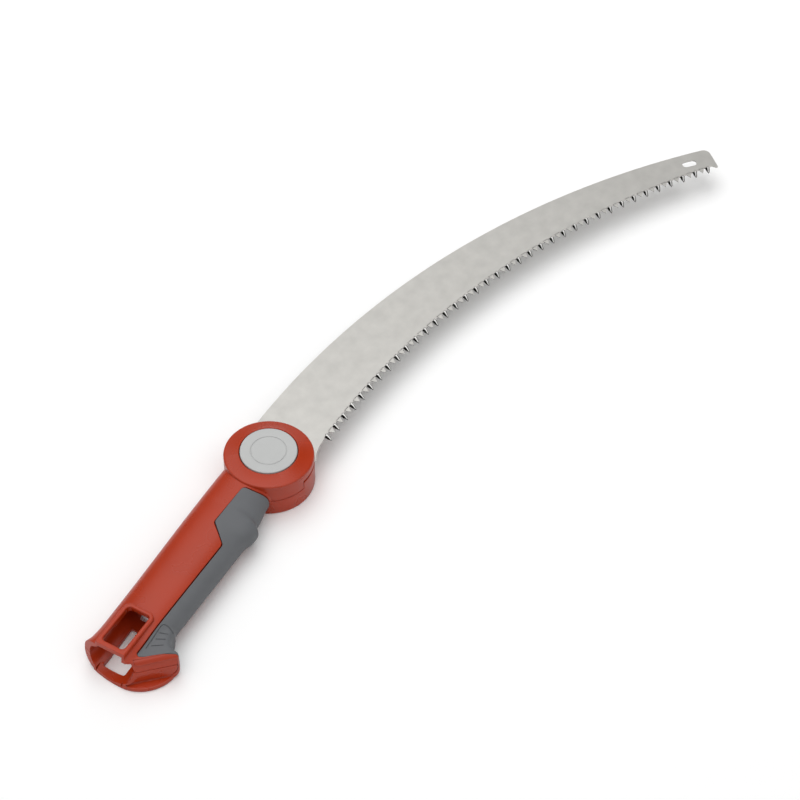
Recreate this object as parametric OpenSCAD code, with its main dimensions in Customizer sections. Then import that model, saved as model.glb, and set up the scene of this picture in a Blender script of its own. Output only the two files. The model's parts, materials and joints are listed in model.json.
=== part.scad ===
// Pruning-saw head for a pole: a curved blade that swivels in a round locking hub, on a
// moulded handle whose open end takes the pole.
// The origin is on the swivel axis at the hub's flat underside. +Z is up, the handle runs
// towards -X, and the teeth and the finger side face -Y. All sizes are in millimetres.

/* [Hub] */
// Outer radius of the hub
hub_r = 28.4; // [28:0.1:30]
// Height of the top ring beside the button
hub_h = 27.5; // [27:0.5:30]
// Fall of the top ring from the button to the rim, halfway round
ring_fall = 2.9; // [2:0.1:3.2]
// Tilt of the ring's top towards the blade
ring_tilt = 3.5; // [2:0.1:4]
// Thickness of the hub's floor
floor_t = 2.6; // [2:0.1:3]
// Thickness of the hub's outer wall
hub_wall = 2.6; // [2:0.1:3]
// Rounding of the hub's edges
hub_edge = 1.6; // [1:0.1:2.4]
// Height of the line where the handle's two halves part
part_z = 12.4; // [11:0.1:14]
// Angle of the blade slot's end on the finger side, from +X
slot_finger_deg = 99; // [95:1:105]
// Angle of the blade slot's end on the back, from +X
slot_back_deg = 122; // [121:1:128]

/* [Button] */
// Radius of the button
button_r = 18; // [17:0.1:19]
// Thickness of the button's cap
button_t = 2.2; // [2:0.1:3]
// How far the button stands above the ring
button_proud = 0.5; // [0.3:0.1:1]
// How far the button can be pressed
button_travel = 3; // [2.5:0.1:3.4]
// Depth of the dish in the button's face
button_dish = 0.5; // [0.2:0.1:0.8]
// Gap around the button
button_gap = 0.5; // [0.3:0.05:0.6]
// Distance of the button's legs from the axis
leg_at = 11.5; // [11:0.1:12]
// Width of each leg across the radius
leg_w = 7; // [5:0.5:8]
// Thickness of each leg along the radius
leg_t = 2.6; // [2.2:0.1:3]

/* [Lock] */
// Number of teeth of the lock, which sets the blade's angle steps
lock_teeth = 24; // [24:12:36]
// Tip radius of the lock gear
gear_r = 15; // [14.6:0.1:15.2]
// Depth of the lock's teeth
lock_tooth_h = 1.4; // [1:0.1:1.5]
// Clearance between meshing teeth
lock_gap = 0.15; // [0.1:0.05:0.2]
// Height of the lock gear
gear_h = 4; // [3.5:0.1:4.5]
// How far the gear reaches into the blade's carrier
gear_bite = 2.1; // [1.6:0.1:2.3]
// Outer radius of the fixed lock ring
lock_ring_r = 18; // [17.5:0.1:19]
// Height of the fixed lock ring
lock_ring_h = 5.4; // [5:0.1:6]
// Distance from the inside of the hub's wall to the blade's carrier
carrier_in = 2.4; // [2:0.1:3]
// Height of the blade's carrier
carrier_h = 5.8; // [5:0.1:6]
// Thickness of the slide washers
washer_t = 0.5; // [0.4:0.1:0.8]

/* [Pivot] */
// Outer radius of the pivot sleeve
sleeve_r = 4.5; // [4:0.1:5]
// Radius of the pivot screw's shank
pivot_screw_r = 2.5; // [2:0.1:3]
// Radius of the pivot screw's head
pivot_head_r = 4.5; // [4.2:0.1:5]
// Height of the pivot screw's head
pivot_head_h = 2.6; // [2:0.1:2.8]
// Distance across the pivot nut's flats
nut_af = 8; // [7:0.5:9]
// Height of the pivot nut
nut_h = 4; // [3:0.5:4.5]
// Wire thickness of the button's spring
spring_wire = 1.1; // [0.8:0.1:1.3]
// Turns of the button's spring
spring_turns = 4; // [3:1:5]

/* [Blade] */
// How far the blade's underside is below the hub's top ring
blade_in = 9.8; // [9.3:0.1:10.3]
// Thickness of the blade
blade_t = 1.2; // [1:0.1:1.5]
// Radius of the spine's curve
spine_r = 556.9; // [540:1:580]
// Distance of the spine's centre from the axis along X
spine_cx = 28.1; // [20:0.1:36]
// Offset of the spine from the axis at its highest point
spine_y = 22.9; // [21:0.1:25]
// How much larger the radius of the tooth line's curve is than the spine's
edge_more = 16.9; // [12:0.1:22]
// Distance of the tooth line's centre from the axis along X
edge_cx = 50.4; // [45:0.1:56]
// Offset of the tooth tips from the axis at their highest point
edge_y = 22.4; // [21:0.1:24]
// Angle along the spine's curve at which the blade ends
tip_deg = 40.9; // [36:0.1:42]
// Rounding of the tip's corner
tip_round = 5; // [2:0.5:7]
// Spacing of the teeth
tooth_pitch = 5; // [4:0.5:6]
// Depth of the teeth
tooth_h = 3.7; // [3:0.1:4.5]
// Distance from the axis to the first tooth
heel_x = 34; // [33:0.5:38]
// Rounding of the heel's hollow
heel_round = 31; // [26:0.5:36]
// Length of the hanging slot
hang_len = 10.5; // [8:0.5:12]
// Width of the hanging slot
hang_w = 5.5; // [4:0.5:6]
// Distance of the hanging slot from the spine
hang_in = 9.3; // [8:0.1:11]
// Distance of the hanging slot from the blade's end
hang_back = 18; // [14:0.5:24]
// Number of rivets
rivets = 6; // [4:1:8]
// Radius of the rivets' heads
rivet_head_r = 1.9; // [1.6:0.1:2.2]

/* [Handle] */
// Distance from the swivel axis to the top of the socket's mouth
handle_len = 173; // [168:1:190]
// How much further the mouth's lower lip reaches
lip_reach = 5.5; // [4:0.5:7]
// Offset of the handle's back beside the hub
back_hub = 21.2; // [20:0.1:22]
// Offset of the handle's back at the socket
back_end = 18.2; // [17.4:0.1:19]
// How far the back flares out at the mouth
back_flare = 1.3; // [0.5:0.1:2]
// Offset of the finger side beside the hub
finger_hub = 16.3; // [15:0.1:18]
// Height of the finger stop's step
finger_stop = 4.2; // [2:0.1:5]
// Distance from the axis to the finger stop
finger_stop_at = 46; // [44:1:52]
// How much the grip draws in behind the finger stop
waist = 2; // [1:0.1:3]
// Height of the handle's crown
handle_top = 25.2; // [24.5:0.1:26]
// How much lower the crown is beside the hub
neck_drop = 0.7; // [0.4:0.1:2.2]
// Height of the handle's underside above the hub's
handle_lift = 1.2; // [0.6:0.1:2]
// Squareness of the handle's section, where 2 is an ellipse
squareness = 2.4; // [2:0.1:3]
// Wall of the handle's shells
wall = 3.2; // [2.6:0.1:3.4]

/* [Grip] */
// Thickness of the soft grip
grip_t = 3; // [2.4:0.1:3.2]
// Gap between the soft grip and the shells' edge
seam_gap = 0.35; // [0.2:0.05:0.5]
// Distance from the hub's wall to the grip's front edge
grip_front = 2.2; // [1.5:0.1:4]
// Offset of the grip's upper edge, in front
seam_front_y = 0.6; // [0:0.1:2]
// Offset of the grip's upper edge, behind the jog
seam_rear_y = 14; // [13:0.1:15]
// Distance from the axis to the start of the jog in the edge
jog_at = 62; // [58:0.5:68]
// Length of the jog along the handle
jog_len = 10.5; // [8:0.5:14]

/* [Pommel] */
// Reach of the hook's tip from the handle's centre line
hook_y = 34.6; // [31:0.1:36]
// Distance of the hook's tip in front of the mouth
hook_in = 19.5; // [17:0.5:24]
// Rounding of the hook's tip
hook_round = 3.2; // [2:0.1:4]
// Height of the hook's top
hook_top = 21; // [19:0.1:22]
// Thickness of the flange round the hook's foot
flange_t = 2.8; // [2:0.1:3.5]

/* [Pole socket] */
// Width of the socket
socket_w = 29; // [26:0.5:29]
// Height of the socket
socket_h = 21; // [19:0.5:21]
// Depth of the socket from the mouth
socket_depth = 41; // [38:1:44]
// Length of the latch window
window_len = 28; // [22:0.5:29]
// Width of the latch window
window_w = 15.5; // [12:0.5:16]
// Distance from the mouth to the latch window
window_in = 3.2; // [2.8:0.1:5]
// Width of the window's raised rim
rim_w = 2.6; // [2:0.1:3]
// Height of the window's raised rim
rim_z = 27; // [26.4:0.1:28]
// Width of the lead-in ramp in the lower lip
ramp_w = 18; // [14:0.5:20]

/* [Fasteners] */
// Radius of the shell screws' shanks
screw_r = 1.5; // [1.3:0.1:1.8]
// Radius of the shell screws' heads
screw_head_r = 2.9; // [2.6:0.1:3.2]
// Height of the shell screws' heads
screw_head_h = 2; // [1.6:0.1:2.4]
// Height of the heads' seat above the ground
screw_seat_z = 6.4; // [6:0.1:7]
// Wall of the bosses round the shell screws
boss_wall = 1.9; // [1.5:0.1:2.4]

/* [Inner pieces] */
// Thickness of the web under the button
web_t = 1.8; // [1.4:0.1:2]
// Wall of the button's well
well_wall = 2.4; // [2:0.1:3]
// Radius of the boss round the pivot screw's head
head_boss_r = 7; // [6.4:0.1:7.6]
// Thickness of the boss's floor under the pivot screw's head
head_floor_t = 2; // [1.5:0.1:2.4]
// Wall of the boss round the pivot nut
nut_boss_wall = 1.5; // [1.2:0.1:1.8]
// Width of the lugs that key the lock ring
lug_w = 5; // [3:0.5:7]
// Radius of the small screws' shanks
small_screw_r = 0.9; // [0.8:0.05:1.1]
// Radius of the small screws' heads
small_head_r = 1.7; // [1.5:0.05:1.8]
// Thickness of the socket's leaf spring
leaf_t = 0.5; // [0.4:0.1:0.8]
// Width of the socket's leaf spring
leaf_w = 8; // [6:0.5:10]
// How far the leaf spring bows into the socket
leaf_bow = 5; // [3:0.5:6]

/* [Hidden] */
$fn = 96;

// Clearances
fit_gap = 0.2;     // between pieces that don't bear on each other
run_gap = 0.06;    // radial, where one piece turns or slides in another
thread_gap = 0.02; // radial, between a screw and the hole it cuts
far = 400;         // larger than the whole part

// Heights in the hub, from the blade down and up
blade_z = hub_h - blade_in;
carrier_z = blade_z - carrier_h;
blade_top = blade_z + blade_t;
lock_ring_top = carrier_z - washer_t;
lock_ring_z = lock_ring_top - lock_ring_h;
gear_top = carrier_z + gear_bite;
gear_z = gear_top - gear_h;
slot_low = blade_z - fit_gap;
slot_high = blade_top + fit_gap;
well_z = blade_top + washer_t;
button_top = hub_h + button_proud;
button_z = button_top - button_t;
web_top = button_z - button_travel - fit_gap;
web_z = web_top - web_t;
head_seat_z = web_top - pivot_head_h;
head_boss_z = head_seat_z - head_floor_t;
nut_top = floor_t + nut_h;

// Radii in the hub
well_r = button_r + button_gap;
well_out_r = well_r + well_wall;
gear_root_r = gear_r - lock_tooth_h;
mesh_r = gear_r + lock_gap;
blade_hole_r = mesh_r + 1.35;
collar_r = hub_r - hub_wall;
carrier_r = collar_r - carrier_in;
bearing_r = carrier_r + run_gap;
blade_disc_r = collar_r - 2 * fit_gap;
seat_r = lock_ring_r + 2 * run_gap;
seat_wall = 2.3;
lug_r = lock_ring_r + 1.6;
nut_boss_r = nut_af / 2 / cos(30) + fit_gap / 2 + nut_boss_wall;
spring_r = nut_boss_r + fit_gap + spring_wire / 2 + 0.1;
spring_seat_r = spring_r + spring_wire / 2 + 0.3;
spring_seat_h = gear_h / 2;
rivet_at = (blade_hole_r + carrier_r) / 2;
rivet_r = 0.64 * rivet_head_r;
rivet_head_h = 0.8;

// Blade
edge_r = spine_r + edge_more;

// Handle
socket_end = handle_len - socket_depth;
end_wall = 3;
mouth_lean = atan(lip_reach / rim_z);
window_x = -(handle_len - window_in - window_len / 2);
window_round = 2.6;
boss_low_r = screw_head_r + fit_gap + 1.2;
boss_high_r = screw_r + boss_wall;
screw_len = 13;
screw_rear = socket_end - 0.047 * handle_len;
screw_spots = [
  [-0.22 * handle_len, back_hub / 2], [-0.38 * handle_len, back_end / 2],
  for (u = [0.55 * handle_len, screw_rear], y = [back_end / 2, -socket_w / 4]) [-u, y]
];
hook_tip = [-(handle_len - hook_in), -(hook_y - hook_round)];
face_deg = 224.5; // direction in which the hook's end face looks
face_lean = 13;   // lean of that face
tip_corner = 9;   // rounding of its lower corner at the tip
mouth_bow = 74;   // radius of the lower lip's bow, seen from above
bow_fade = 4.2;   // how much steeper the bow leans than the mouth, so that it fades upwards
shoulder_w = 21;  // width between the shoulders at the mouth
shoulder_z = 20;  // their height
shoulder_t = 3;   // their thickness along the handle
RED = "firebrick";
STEEL = "silver";

// Smooth step from 0 to 1 as t goes from 0 to 1
function smooth(t) = let (c = max(0, min(1, t))) c * c * (3 - 2 * c);

// The handle's outline at a distance u from the swivel axis
function back_y(u) = back_hub
  - (back_hub - back_end) * smooth((u - hub_r) / (socket_end - hub_r + 25))
  + back_flare * smooth((u - handle_len + 15) / 18);
function finger_y(u) = finger_hub + 3 * smooth((u - 25) / 20)
  + finger_stop * smooth((u - finger_stop_at + 1) / 4.5)
  - waist * smooth((u - finger_stop_at - 8) / 9)
  - (finger_stop - waist + 1.6) * smooth((u - handle_len + 33) / 22);
function top_z(u) = handle_top - neck_drop * (1 - smooth((u - 25) / 35));
function bottom_z(u) = handle_lift * (1 - smooth((u - handle_len + 35) / 18));

// Points of a squared ellipse in the plane x = -u
ring_steps = 28;
function squared(v) = sign(v) * pow(abs(v), 2 / squareness);
function ring(u, yc, zc, half_w, half_h) = [
  for (k = [0 : ring_steps - 1])
    let (a = 360 * (k + 0.5) / ring_steps)
      [-u, yc + half_w * squared(cos(a)), zc + half_h * squared(sin(a))]
];
function handle_ring(u, inset) =
  let (back = back_y(u), finger = -finger_y(u), top = top_z(u), low = bottom_z(u))
    ring(u, (back + finger) / 2, (top + low) / 2, (back - finger) / 2 - inset,
      (top - low) / 2 - inset);

// A closed skin over a row of rings with the same number of points
module skin(rings) {
  n = len(rings[0]);
  last = len(rings) - 1;
  polyhedron(
    points = [for (r = rings) each r],
    faces = [
      [for (k = [0 : n - 1]) n - 1 - k],
      for (i = [0 : last - 1], k = [0 : n - 1])
        let (a = i * n + k, b = i * n + (k + 1) % n) each [[a, b + n, a + n], [a, b, b + n]],
      [for (k = [0 : n - 1]) last * n + k]
    ]
  );
}

// The handle's solid form between two distances, drawn in by an inset
module handle_form(from, to, inset) {
  stops = [
    12, 22, 32, 40, 44, 46, 48, 50, 53, 60, 72, 86, 100, 114, 128, 138, 144, 150, 156, 162, 168,
    174, 180, 186
  ];
  skin([
    for (u = [from, for (s = stops) if (s > from + 1 && s < to - 1) s, to]) handle_ring(u, inset)
  ]);
}

// A wedge of the plan between two angles
module sector(from, to) {
  polygon([[0, 0], for (i = [0 : 12]) let (a = from + (to - from) * i / 12) far * [cos(a), sin(a)]]);
}

// A rectangle with round corners
module round_rect(len, w, r) {
  for (s = [-1, 1], t = [-1, 1]) translate([s * (len / 2 - r), t * (w / 2 - r)]) circle(r = r);
  square([len - 2 * r, w], center = true);
  square([len, w - 2 * r], center = true);
}

// A slot with half-round ends
module slot_plan(len, w) {
  for (s = [-1, 1]) translate([s * (len - w) / 2, 0]) circle(r = w / 2);
  square([len - w, w], center = true);
}

// A hole or shank from one height to another
module post(r, from, to) {
  translate([0, 0, from]) cylinder(r = r, h = to - from);
}

module tube(outer, inner, from, to) {
  difference() {
    post(outer, from, to);
    post(inner, from - 1, to + 1);
  }
}

// Everything above a height
module above(z) {
  translate([-far, -far, z]) cube(2 * far);
}

// Plan of the lock's teeth, grown all round by a gap for the rings that they mesh with
module lock_teeth_plan(gap) {
  pitch = 360 / lock_teeth;
  root = gear_root_r + gap;
  tip = gear_r + gap;
  half_root = pitch * 0.29 + gap / root * 180 / PI;
  half_tip = pitch * 0.19 + gap / tip * 180 / PI;
  polygon([
    for (i = [0 : lock_teeth - 1], p = [[root, -half_root], [tip, -half_tip], [tip, half_tip],
      [root, half_root]])
      p[0] * [cos(i * pitch + p[1]), sin(i * pitch + p[1])]
  ]);
}

// Plan of the soft grip's region; the shells' cut is larger by the seam's gap
module grip_plan(gap) {
  front = hub_r + grip_front - gap;
  front_deg = 180 + asin(seam_front_y / front);
  rear = handle_len - 6;
  polygon([
    for (i = [0 : 8]) let (a = front_deg + (275 - front_deg) * i / 8) front * [cos(a), sin(a)],
    [0, -far / 4],
    [-rear + 15.4, -far / 4],
    for (p = [[rear - 15.4, 34.4], [rear - 11.2, 28], [rear - 7.2, 23.3], [rear - 3.2, 18.9],
      [rear, seam_rear_y]])
      [-p[0] - gap, -p[1] + gap],
    [-jog_at - jog_len - 2.5, -seam_rear_y + gap],
    [-jog_at - jog_len, -seam_rear_y + 1.2 + gap],
    [-jog_at - gap, -seam_front_y + gap / 2]
  ]);
}

// Plan of the hook behind the grip, from its root in the handle round its tip to its end face
module hook_plan() {
  r = hook_round;
  face_out = r * [cos(face_deg), sin(face_deg)];
  along = (hook_y - 10) * [-1, 1];
  polygon([
    [hook_tip[0] + 16, -16],
    for (p = [[14.5, 8.6], [8.5, 7.4], [4.6, 4.8]]) hook_tip + p,
    for (i = [0 : 10]) let (a = 20 - (380 - face_deg) * i / 10) hook_tip + r * [cos(a), sin(a)],
    hook_tip + face_out + along, [-handle_len + 10, -6]
  ]);
}

// Everything beyond the end face of the hook and mouth, which leans in towards the top
module face_cut(from) {
  intersection() {
    translate([hook_tip[0], hook_tip[1], part_z]) rotate([0, 0, face_deg])
      translate([hook_round, 0, 0]) rotate([0, -face_lean, 0])
        translate([0, -far / 2, -far / 2]) cube(far);
    above(from);
  }
}

// Cuts the lower corner of the hook's tip to a quarter round
module tip_cut() {
  translate([hook_tip[0], hook_tip[1], 0]) rotate([0, 0, face_deg]) difference() {
    translate([-far / 2, hook_round - tip_corner, -1]) cube([far, far, tip_corner + 1]);
    translate([-far / 2 - 1, hook_round - tip_corner, tip_corner]) rotate([0, 90, 0])
      cylinder(r = tip_corner, h = far + 2);
  }
}

// The hook's solid form
module hook_form(from) {
  difference() {
    translate([0, 0, from]) linear_extrude(hook_top - from) hook_plan();
    face_cut(-1);
    tip_cut();
  }
}

// Cuts the handle's open end, which leans so that its lower lip reaches further and is bowed there
module mouth_cut() {
  translate([-handle_len, 0, rim_z]) rotate([0, mouth_lean, 0]) {
    translate([-far, -far / 2, -far / 2]) cube(far);
    difference() {
      translate([-1, -far / 2, -far / 2]) cube([lip_reach, far, far]);
      rotate([0, -bow_fade, 0]) translate([mouth_bow - 2, -8, -far / 2])
        cylinder(r = mouth_bow, h = far);
    }
  }
  face_cut(flange_t);
}

// Outside of both shells behind the hub, with the seat for the soft grip taken out
module handle_outside() {
  difference() {
    handle_form(hub_r - 8, handle_len + lip_reach + 4, 0);
    translate([0, 0, -1]) linear_extrude(rim_z + 2) grip_plan(seam_gap);
  }
  handle_form(hub_r - 7, handle_len + lip_reach + 2, grip_t);
  difference() {
    hook_form(0);
    translate([0, 0, -1]) linear_extrude(rim_z + 2) grip_plan(seam_gap);
  }
  difference() {
    linear_extrude(flange_t) flange_plan();
    tip_cut();
  }
  translate([window_x, 0, rim_z - 4.4]) linear_extrude(4.4)
    round_rect(window_len + 2 * rim_w, window_w + 2 * rim_w, window_round + rim_w);
  translate([-handle_len - 1, -window_w / 2 - rim_w, rim_z - 4.4])
    cube([window_in + 1, window_w + 2 * rim_w, 4.4]);
}

// Foot flange round the mouth's lower lip and the hook's end face
module flange_plan() {
  reach = handle_len + lip_reach;
  centre = [-154.2 * handle_len / 173, -8.2];
  r = norm(centre - [-reach, -12]);
  polygon([
    for (i = [0 : 14]) let (a = 186 + i * 83 / 14) centre + r * [cos(a), sin(a)],
    [hook_tip[0] + 3, hook_tip[1] + 4], [-handle_len + 10, 0], [-handle_len + 10, 12], [-reach, 12]
  ]);
}

// Hollow inside both shells behind the hub
module handle_hollow() {
  front = hub_r + 0.1;
  rear = socket_end - end_wall;
  handle_form(front, rear, grip_t + wall);
  difference() {
    handle_form(front, rear, wall);
    translate([0, 0, -1]) linear_extrude(rim_z + 2) grip_plan(wall);
  }
}

// The pole's socket, open at the mouth and flared there, with its two windows and its ramp
module socket_hollow() {
  mid = socket_h / 2 + flange_t - 0.2;
  difference() {
    skin([
      for (p = [[socket_end, 0], [handle_len - 6, 0], [handle_len + 1, 1], [handle_len + 9, 1.4]])
        ring(p[0], 0, mid, socket_w / 2 + p[1], socket_h / 2 + p[1] / 2)
    ]);
    // shoulders at the mouth, beside the window's bar
    for (s = [-1, 1]) translate([-handle_len - 10, s * (far / 2 + shoulder_w / 2) - far / 2,
      shoulder_z]) cube([10 + shoulder_t, far, far]);
  }
  translate([window_x, 0, -1]) linear_extrude(rim_z + 2)
    round_rect(window_len, window_w, window_round);
  ramp_x = window_x - window_len / 2;
  for (s = [-1, 1]) translate([ramp_x - 12, s * (ramp_w / 2 + 0.8) - 0.8, -1]) cube([9.6, 1.6, 7]);
  translate([ramp_x - 0.6, -ramp_w / 2, flange_t + 0.6]) rotate([0, mouth_lean + 2, 0])
    translate([-12, 0, 0]) cube([12, ramp_w, 4]);
}

// Bosses and holes for the screws that hold the shells together
module screw_bosses(r, from, to) {
  for (p = screw_spots) translate(p) post(r, from, to);
}

module lower_hub() {
  difference() {
    rotate_extrude() polygon([
      [0, 0], for (i = [0 : 6]) let (a = -90 + 15 * i)
        [hub_r - hub_edge + hub_edge * cos(a), hub_edge + hub_edge * sin(a)],
      [hub_r, slot_low], [0, slot_low]
    ]);
    post(bearing_r, floor_t, slot_low + 1);
    // room for the upper shell's wall at the rear
    difference() {
      translate([0, 0, part_z]) linear_extrude(far)
        sector(slot_back_deg, 360 - slot_finger_deg);
      post(collar_r - fit_gap / 2, 0, far);
    }
  }
  // seat and ledge of the lock ring, with slots for its lugs
  difference() {
    tube(seat_r + seat_wall, mesh_r + 0.6, floor_t - 0.1, lock_ring_top);
    post(seat_r, lock_ring_z, lock_ring_top + 1);
    for (a = [90, 210, 330]) rotate([0, 0, a])
      translate([lock_ring_r - 1, -(lug_w + fit_gap) / 2, lock_ring_z])
        cube([lug_r - lock_ring_r + 1.1, lug_w + fit_gap, far]);
  }
  // ribs that carry the lower washer
  for (a = [0 : 60 : 300]) rotate([0, 0, a])
    translate([seat_r + seat_wall / 2, -0.9, floor_t - 0.1])
      cube([bearing_r - seat_r, 1.8, lock_ring_top - floor_t + 0.1]);
  // pocket of the pivot nut
  difference() {
    post(nut_boss_r, floor_t - 0.1, nut_top);
    translate([0, 0, floor_t]) cylinder(r = (nut_af + fit_gap) / 2 / cos(30), h = far, $fn = 6);
  }
}

module lower_shell() {
  color(RED) {
    difference() {
      union() {
        difference() {
          handle_outside();
          handle_hollow();
        }
        intersection() {
          handle_form(hub_r, socket_end, wall / 2);
          screw_bosses(boss_low_r, 0, part_z);
        }
      }
      above(part_z);
      post(hub_r - 1.2, -1, far);
      socket_hollow();
      mouth_cut();
      screw_bosses(screw_r + fit_gap, -1, far);
      screw_bosses(screw_head_r + fit_gap, -1, screw_seat_z);
    }
    lower_hub();
  }
}

module upper_hub() {
  ring_low_z = hub_h - ring_fall;
  difference() {
    union() {
      // ring round the button's well, with a hollow under it
      intersection() {
        rotate_extrude() polygon([
          [well_r, well_z], [well_out_r, well_z], [well_out_r, slot_high + 3.2],
          [collar_r, slot_high + 1.8], [collar_r, slot_high], [hub_r, slot_high],
          [hub_r, hub_h], [well_r + 0.4, hub_h], [well_r, hub_h - 0.4]
        ]);
        translate([-ring_low_z * sin(ring_tilt), 0, 0]) rotate([0, ring_tilt, 0])
          rotate_extrude() polygon([
            [0, 0], [hub_r + 1, 0], [hub_r + 1, ring_low_z - hub_edge - 3.2],
            for (i = [0 : 6]) let (a = 15 * i)
              [hub_r - hub_edge + hub_edge * cos(a), ring_low_z - hub_edge + hub_edge * sin(a)],
            [well_r + 0.4, hub_h + 0.2], [0, hub_h + 0.2]
          ]);
      }
      // wall at the rear, down to the parting line
      intersection() {
        tube(hub_r, collar_r, part_z, slot_high + 0.1);
        linear_extrude(far) sector(slot_back_deg, 360 - slot_finger_deg);
      }
      // web under the button and boss for the pivot screw's head
      post(well_r + 0.1, web_z, web_top);
      post(head_boss_r, head_boss_z, web_top);
      for (a = [15 : 30 : 345]) rotate([0, 0, a])
        translate([well_out_r - 0.2, -0.8, slot_high + 0.6])
          cube([collar_r - well_out_r + 0.4, 1.6, 1.8]);
    }
    post(pivot_screw_r + fit_gap, 0, far);
    post(pivot_head_r + fit_gap, head_seat_z, far);
    leg_spots() translate([-leg_t / 2 - 0.4, -leg_w / 2 - 0.4, 0])
      cube([leg_t + 0.8, leg_w + 0.8, far]);
  }
}

module upper_shell() {
  color(RED) {
    difference() {
      union() {
        difference() {
          handle_outside();
          handle_hollow();
        }
        intersection() {
          handle_form(hub_r, socket_end, wall / 2);
          screw_bosses(boss_high_r, part_z, far);
        }
      }
      translate([0, 0, part_z - 2 * far]) above(0);
      post(hub_r - 1.2, -1, far);
      socket_hollow();
      mouth_cut();
      screw_bosses(screw_r + thread_gap, 0, screw_seat_z + screw_len + 0.6);
      spring_hole(small_screw_r + thread_gap);
    }
    upper_hub();
  }
}

module grip() {
  color("dimgray") difference() {
    union() {
      handle_form(hub_r - 8, handle_len - 6, 0);
      hook_form(0);
    }
    difference() {
      translate([-far, -far, -1]) cube([2 * far, 2 * far, rim_z + 2]);
      translate([0, 0, -2]) linear_extrude(rim_z + 4) grip_plan(0);
    }
    handle_form(hub_r - 7, handle_len + lip_reach + 2, grip_t);
    linear_extrude(flange_t) flange_plan();
    face_cut(flange_t);
  }
}

// Places of the button's legs
module leg_spots() {
  for (a = [30, 150, 270]) rotate([0, 0, a]) translate([leg_at, 0, 0]) children();
}

module button() {
  edge = 0.6;
  color("lightgray") difference() {
    union() {
      rotate_extrude() polygon([
        [0, button_z], [button_r, button_z], [button_r, button_top - edge],
        [button_r - edge, button_top], [button_r - 3 * edge, button_top],
        [button_r - 5 * edge, button_top - button_dish], [0, button_top - button_dish]
      ]);
      leg_spots() translate([-leg_t / 2, -leg_w / 2, gear_top])
        cube([leg_t, leg_w, button_z - gear_top + 0.1]);
    }
    leg_spots() post(small_screw_r + thread_gap, gear_top - 1, gear_top + 6.4);
  }
}

module lock_gear() {
  color(STEEL) difference() {
    translate([0, 0, gear_z]) linear_extrude(gear_h) lock_teeth_plan(0);
    post(sleeve_r + run_gap, 0, far);
    post(spring_seat_r, 0, gear_z + spring_seat_h);
    leg_spots() {
      post(small_screw_r + fit_gap / 2, 0, far);
      post(small_head_r + fit_gap / 2, 0, gear_z + 1.6);
    }
  }
}

module gear_screws() {
  color(STEEL) leg_spots() {
    post(small_head_r, gear_z + 0.3, gear_z + 1.6);
    post(small_screw_r, gear_z + 1.5, gear_top + 6);
  }
}

// A round wire along a helix, with its two ends flat-wound
module coil(r, wire, turns, height) {
  n = 16;
  steps = (turns + 1.5) * n;
  rise = height - wire;
  function lift(i) = let (t = i / n) t < 0.75 ? 0 : rise * min(1, (t - 0.75) / turns);
  skin([
    for (i = [0 : steps])
      let (a = 360 * i / n)
        [for (k = [0 : 5]) let (b = 60 * k)
          [(r + wire / 2 * cos(b)) * cos(a), (r + wire / 2 * cos(b)) * sin(a),
            wire / 2 + lift(i) + wire / 2 * sin(b)]]
  ]);
}

module button_spring() {
  color(STEEL) translate([0, 0, floor_t])
    coil(spring_r, spring_wire, spring_turns, gear_z + spring_seat_h - floor_t);
}

module pivot_sleeve() {
  color(STEEL) difference() {
    tube(sleeve_r, pivot_screw_r + fit_gap / 2, nut_top, head_boss_z);
    tube(sleeve_r + 1, sleeve_r - 0.5, gear_top + 0.1, gear_top + 1);
  }
}

module retaining_ring() {
  color("dimgray") difference() {
    tube(sleeve_r + 1.9, sleeve_r - 0.45, gear_top + 0.15, gear_top + 0.95);
    translate([0, -1.5, 0]) cube([far, 3, far]);
  }
}

module pivot_screw() {
  color(STEEL) difference() {
    union() {
      post(pivot_screw_r, floor_t + 0.3, head_seat_z + 0.1);
      post(pivot_head_r, head_seat_z, web_top - 0.1);
    }
    translate([0, 0, web_top - 1.6]) cylinder(r = 1.75, h = far, $fn = 6);
  }
}

module pivot_nut() {
  color(STEEL) difference() {
    translate([0, 0, floor_t]) cylinder(r = nut_af / 2 / cos(30), h = nut_h, $fn = 6);
    post(pivot_screw_r + thread_gap, 0, far);
  }
}

module lock_ring() {
  color("slategray") difference() {
    union() {
      post(lock_ring_r, lock_ring_z, lock_ring_top);
      for (a = [90, 210, 330]) rotate([0, 0, a])
        translate([0, -lug_w / 2, lock_ring_z]) cube([lug_r, lug_w, lock_ring_h]);
    }
    translate([0, 0, lock_ring_z - 1]) linear_extrude(lock_ring_h + 2) lock_teeth_plan(lock_gap);
  }
}

module rivet_spots() {
  for (i = [0 : rivets - 1]) rotate([0, 0, 360 * i / rivets]) translate([rivet_at, 0, 0]) children();
}

module blade_carrier() {
  color("slategray") difference() {
    post(carrier_r, carrier_z, blade_z);
    translate([0, 0, carrier_z - 1]) linear_extrude(carrier_h + 2) lock_teeth_plan(lock_gap);
    rivet_spots() {
      post(rivet_r, 0, far);
      post(rivet_head_r, 0, carrier_z + rivet_head_h + 0.2);
    }
  }
}

module blade_rivets() {
  color(STEEL) rivet_spots() {
    post(rivet_head_r, carrier_z + 0.2, carrier_z + rivet_head_h + 0.2);
    post(rivet_r, carrier_z + rivet_head_h + 0.1, blade_top - 0.4);
    translate([0, 0, blade_top - rivet_head_h])
      cylinder(r1 = rivet_r, r2 = rivet_head_r, h = rivet_head_h);
  }
}

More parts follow.
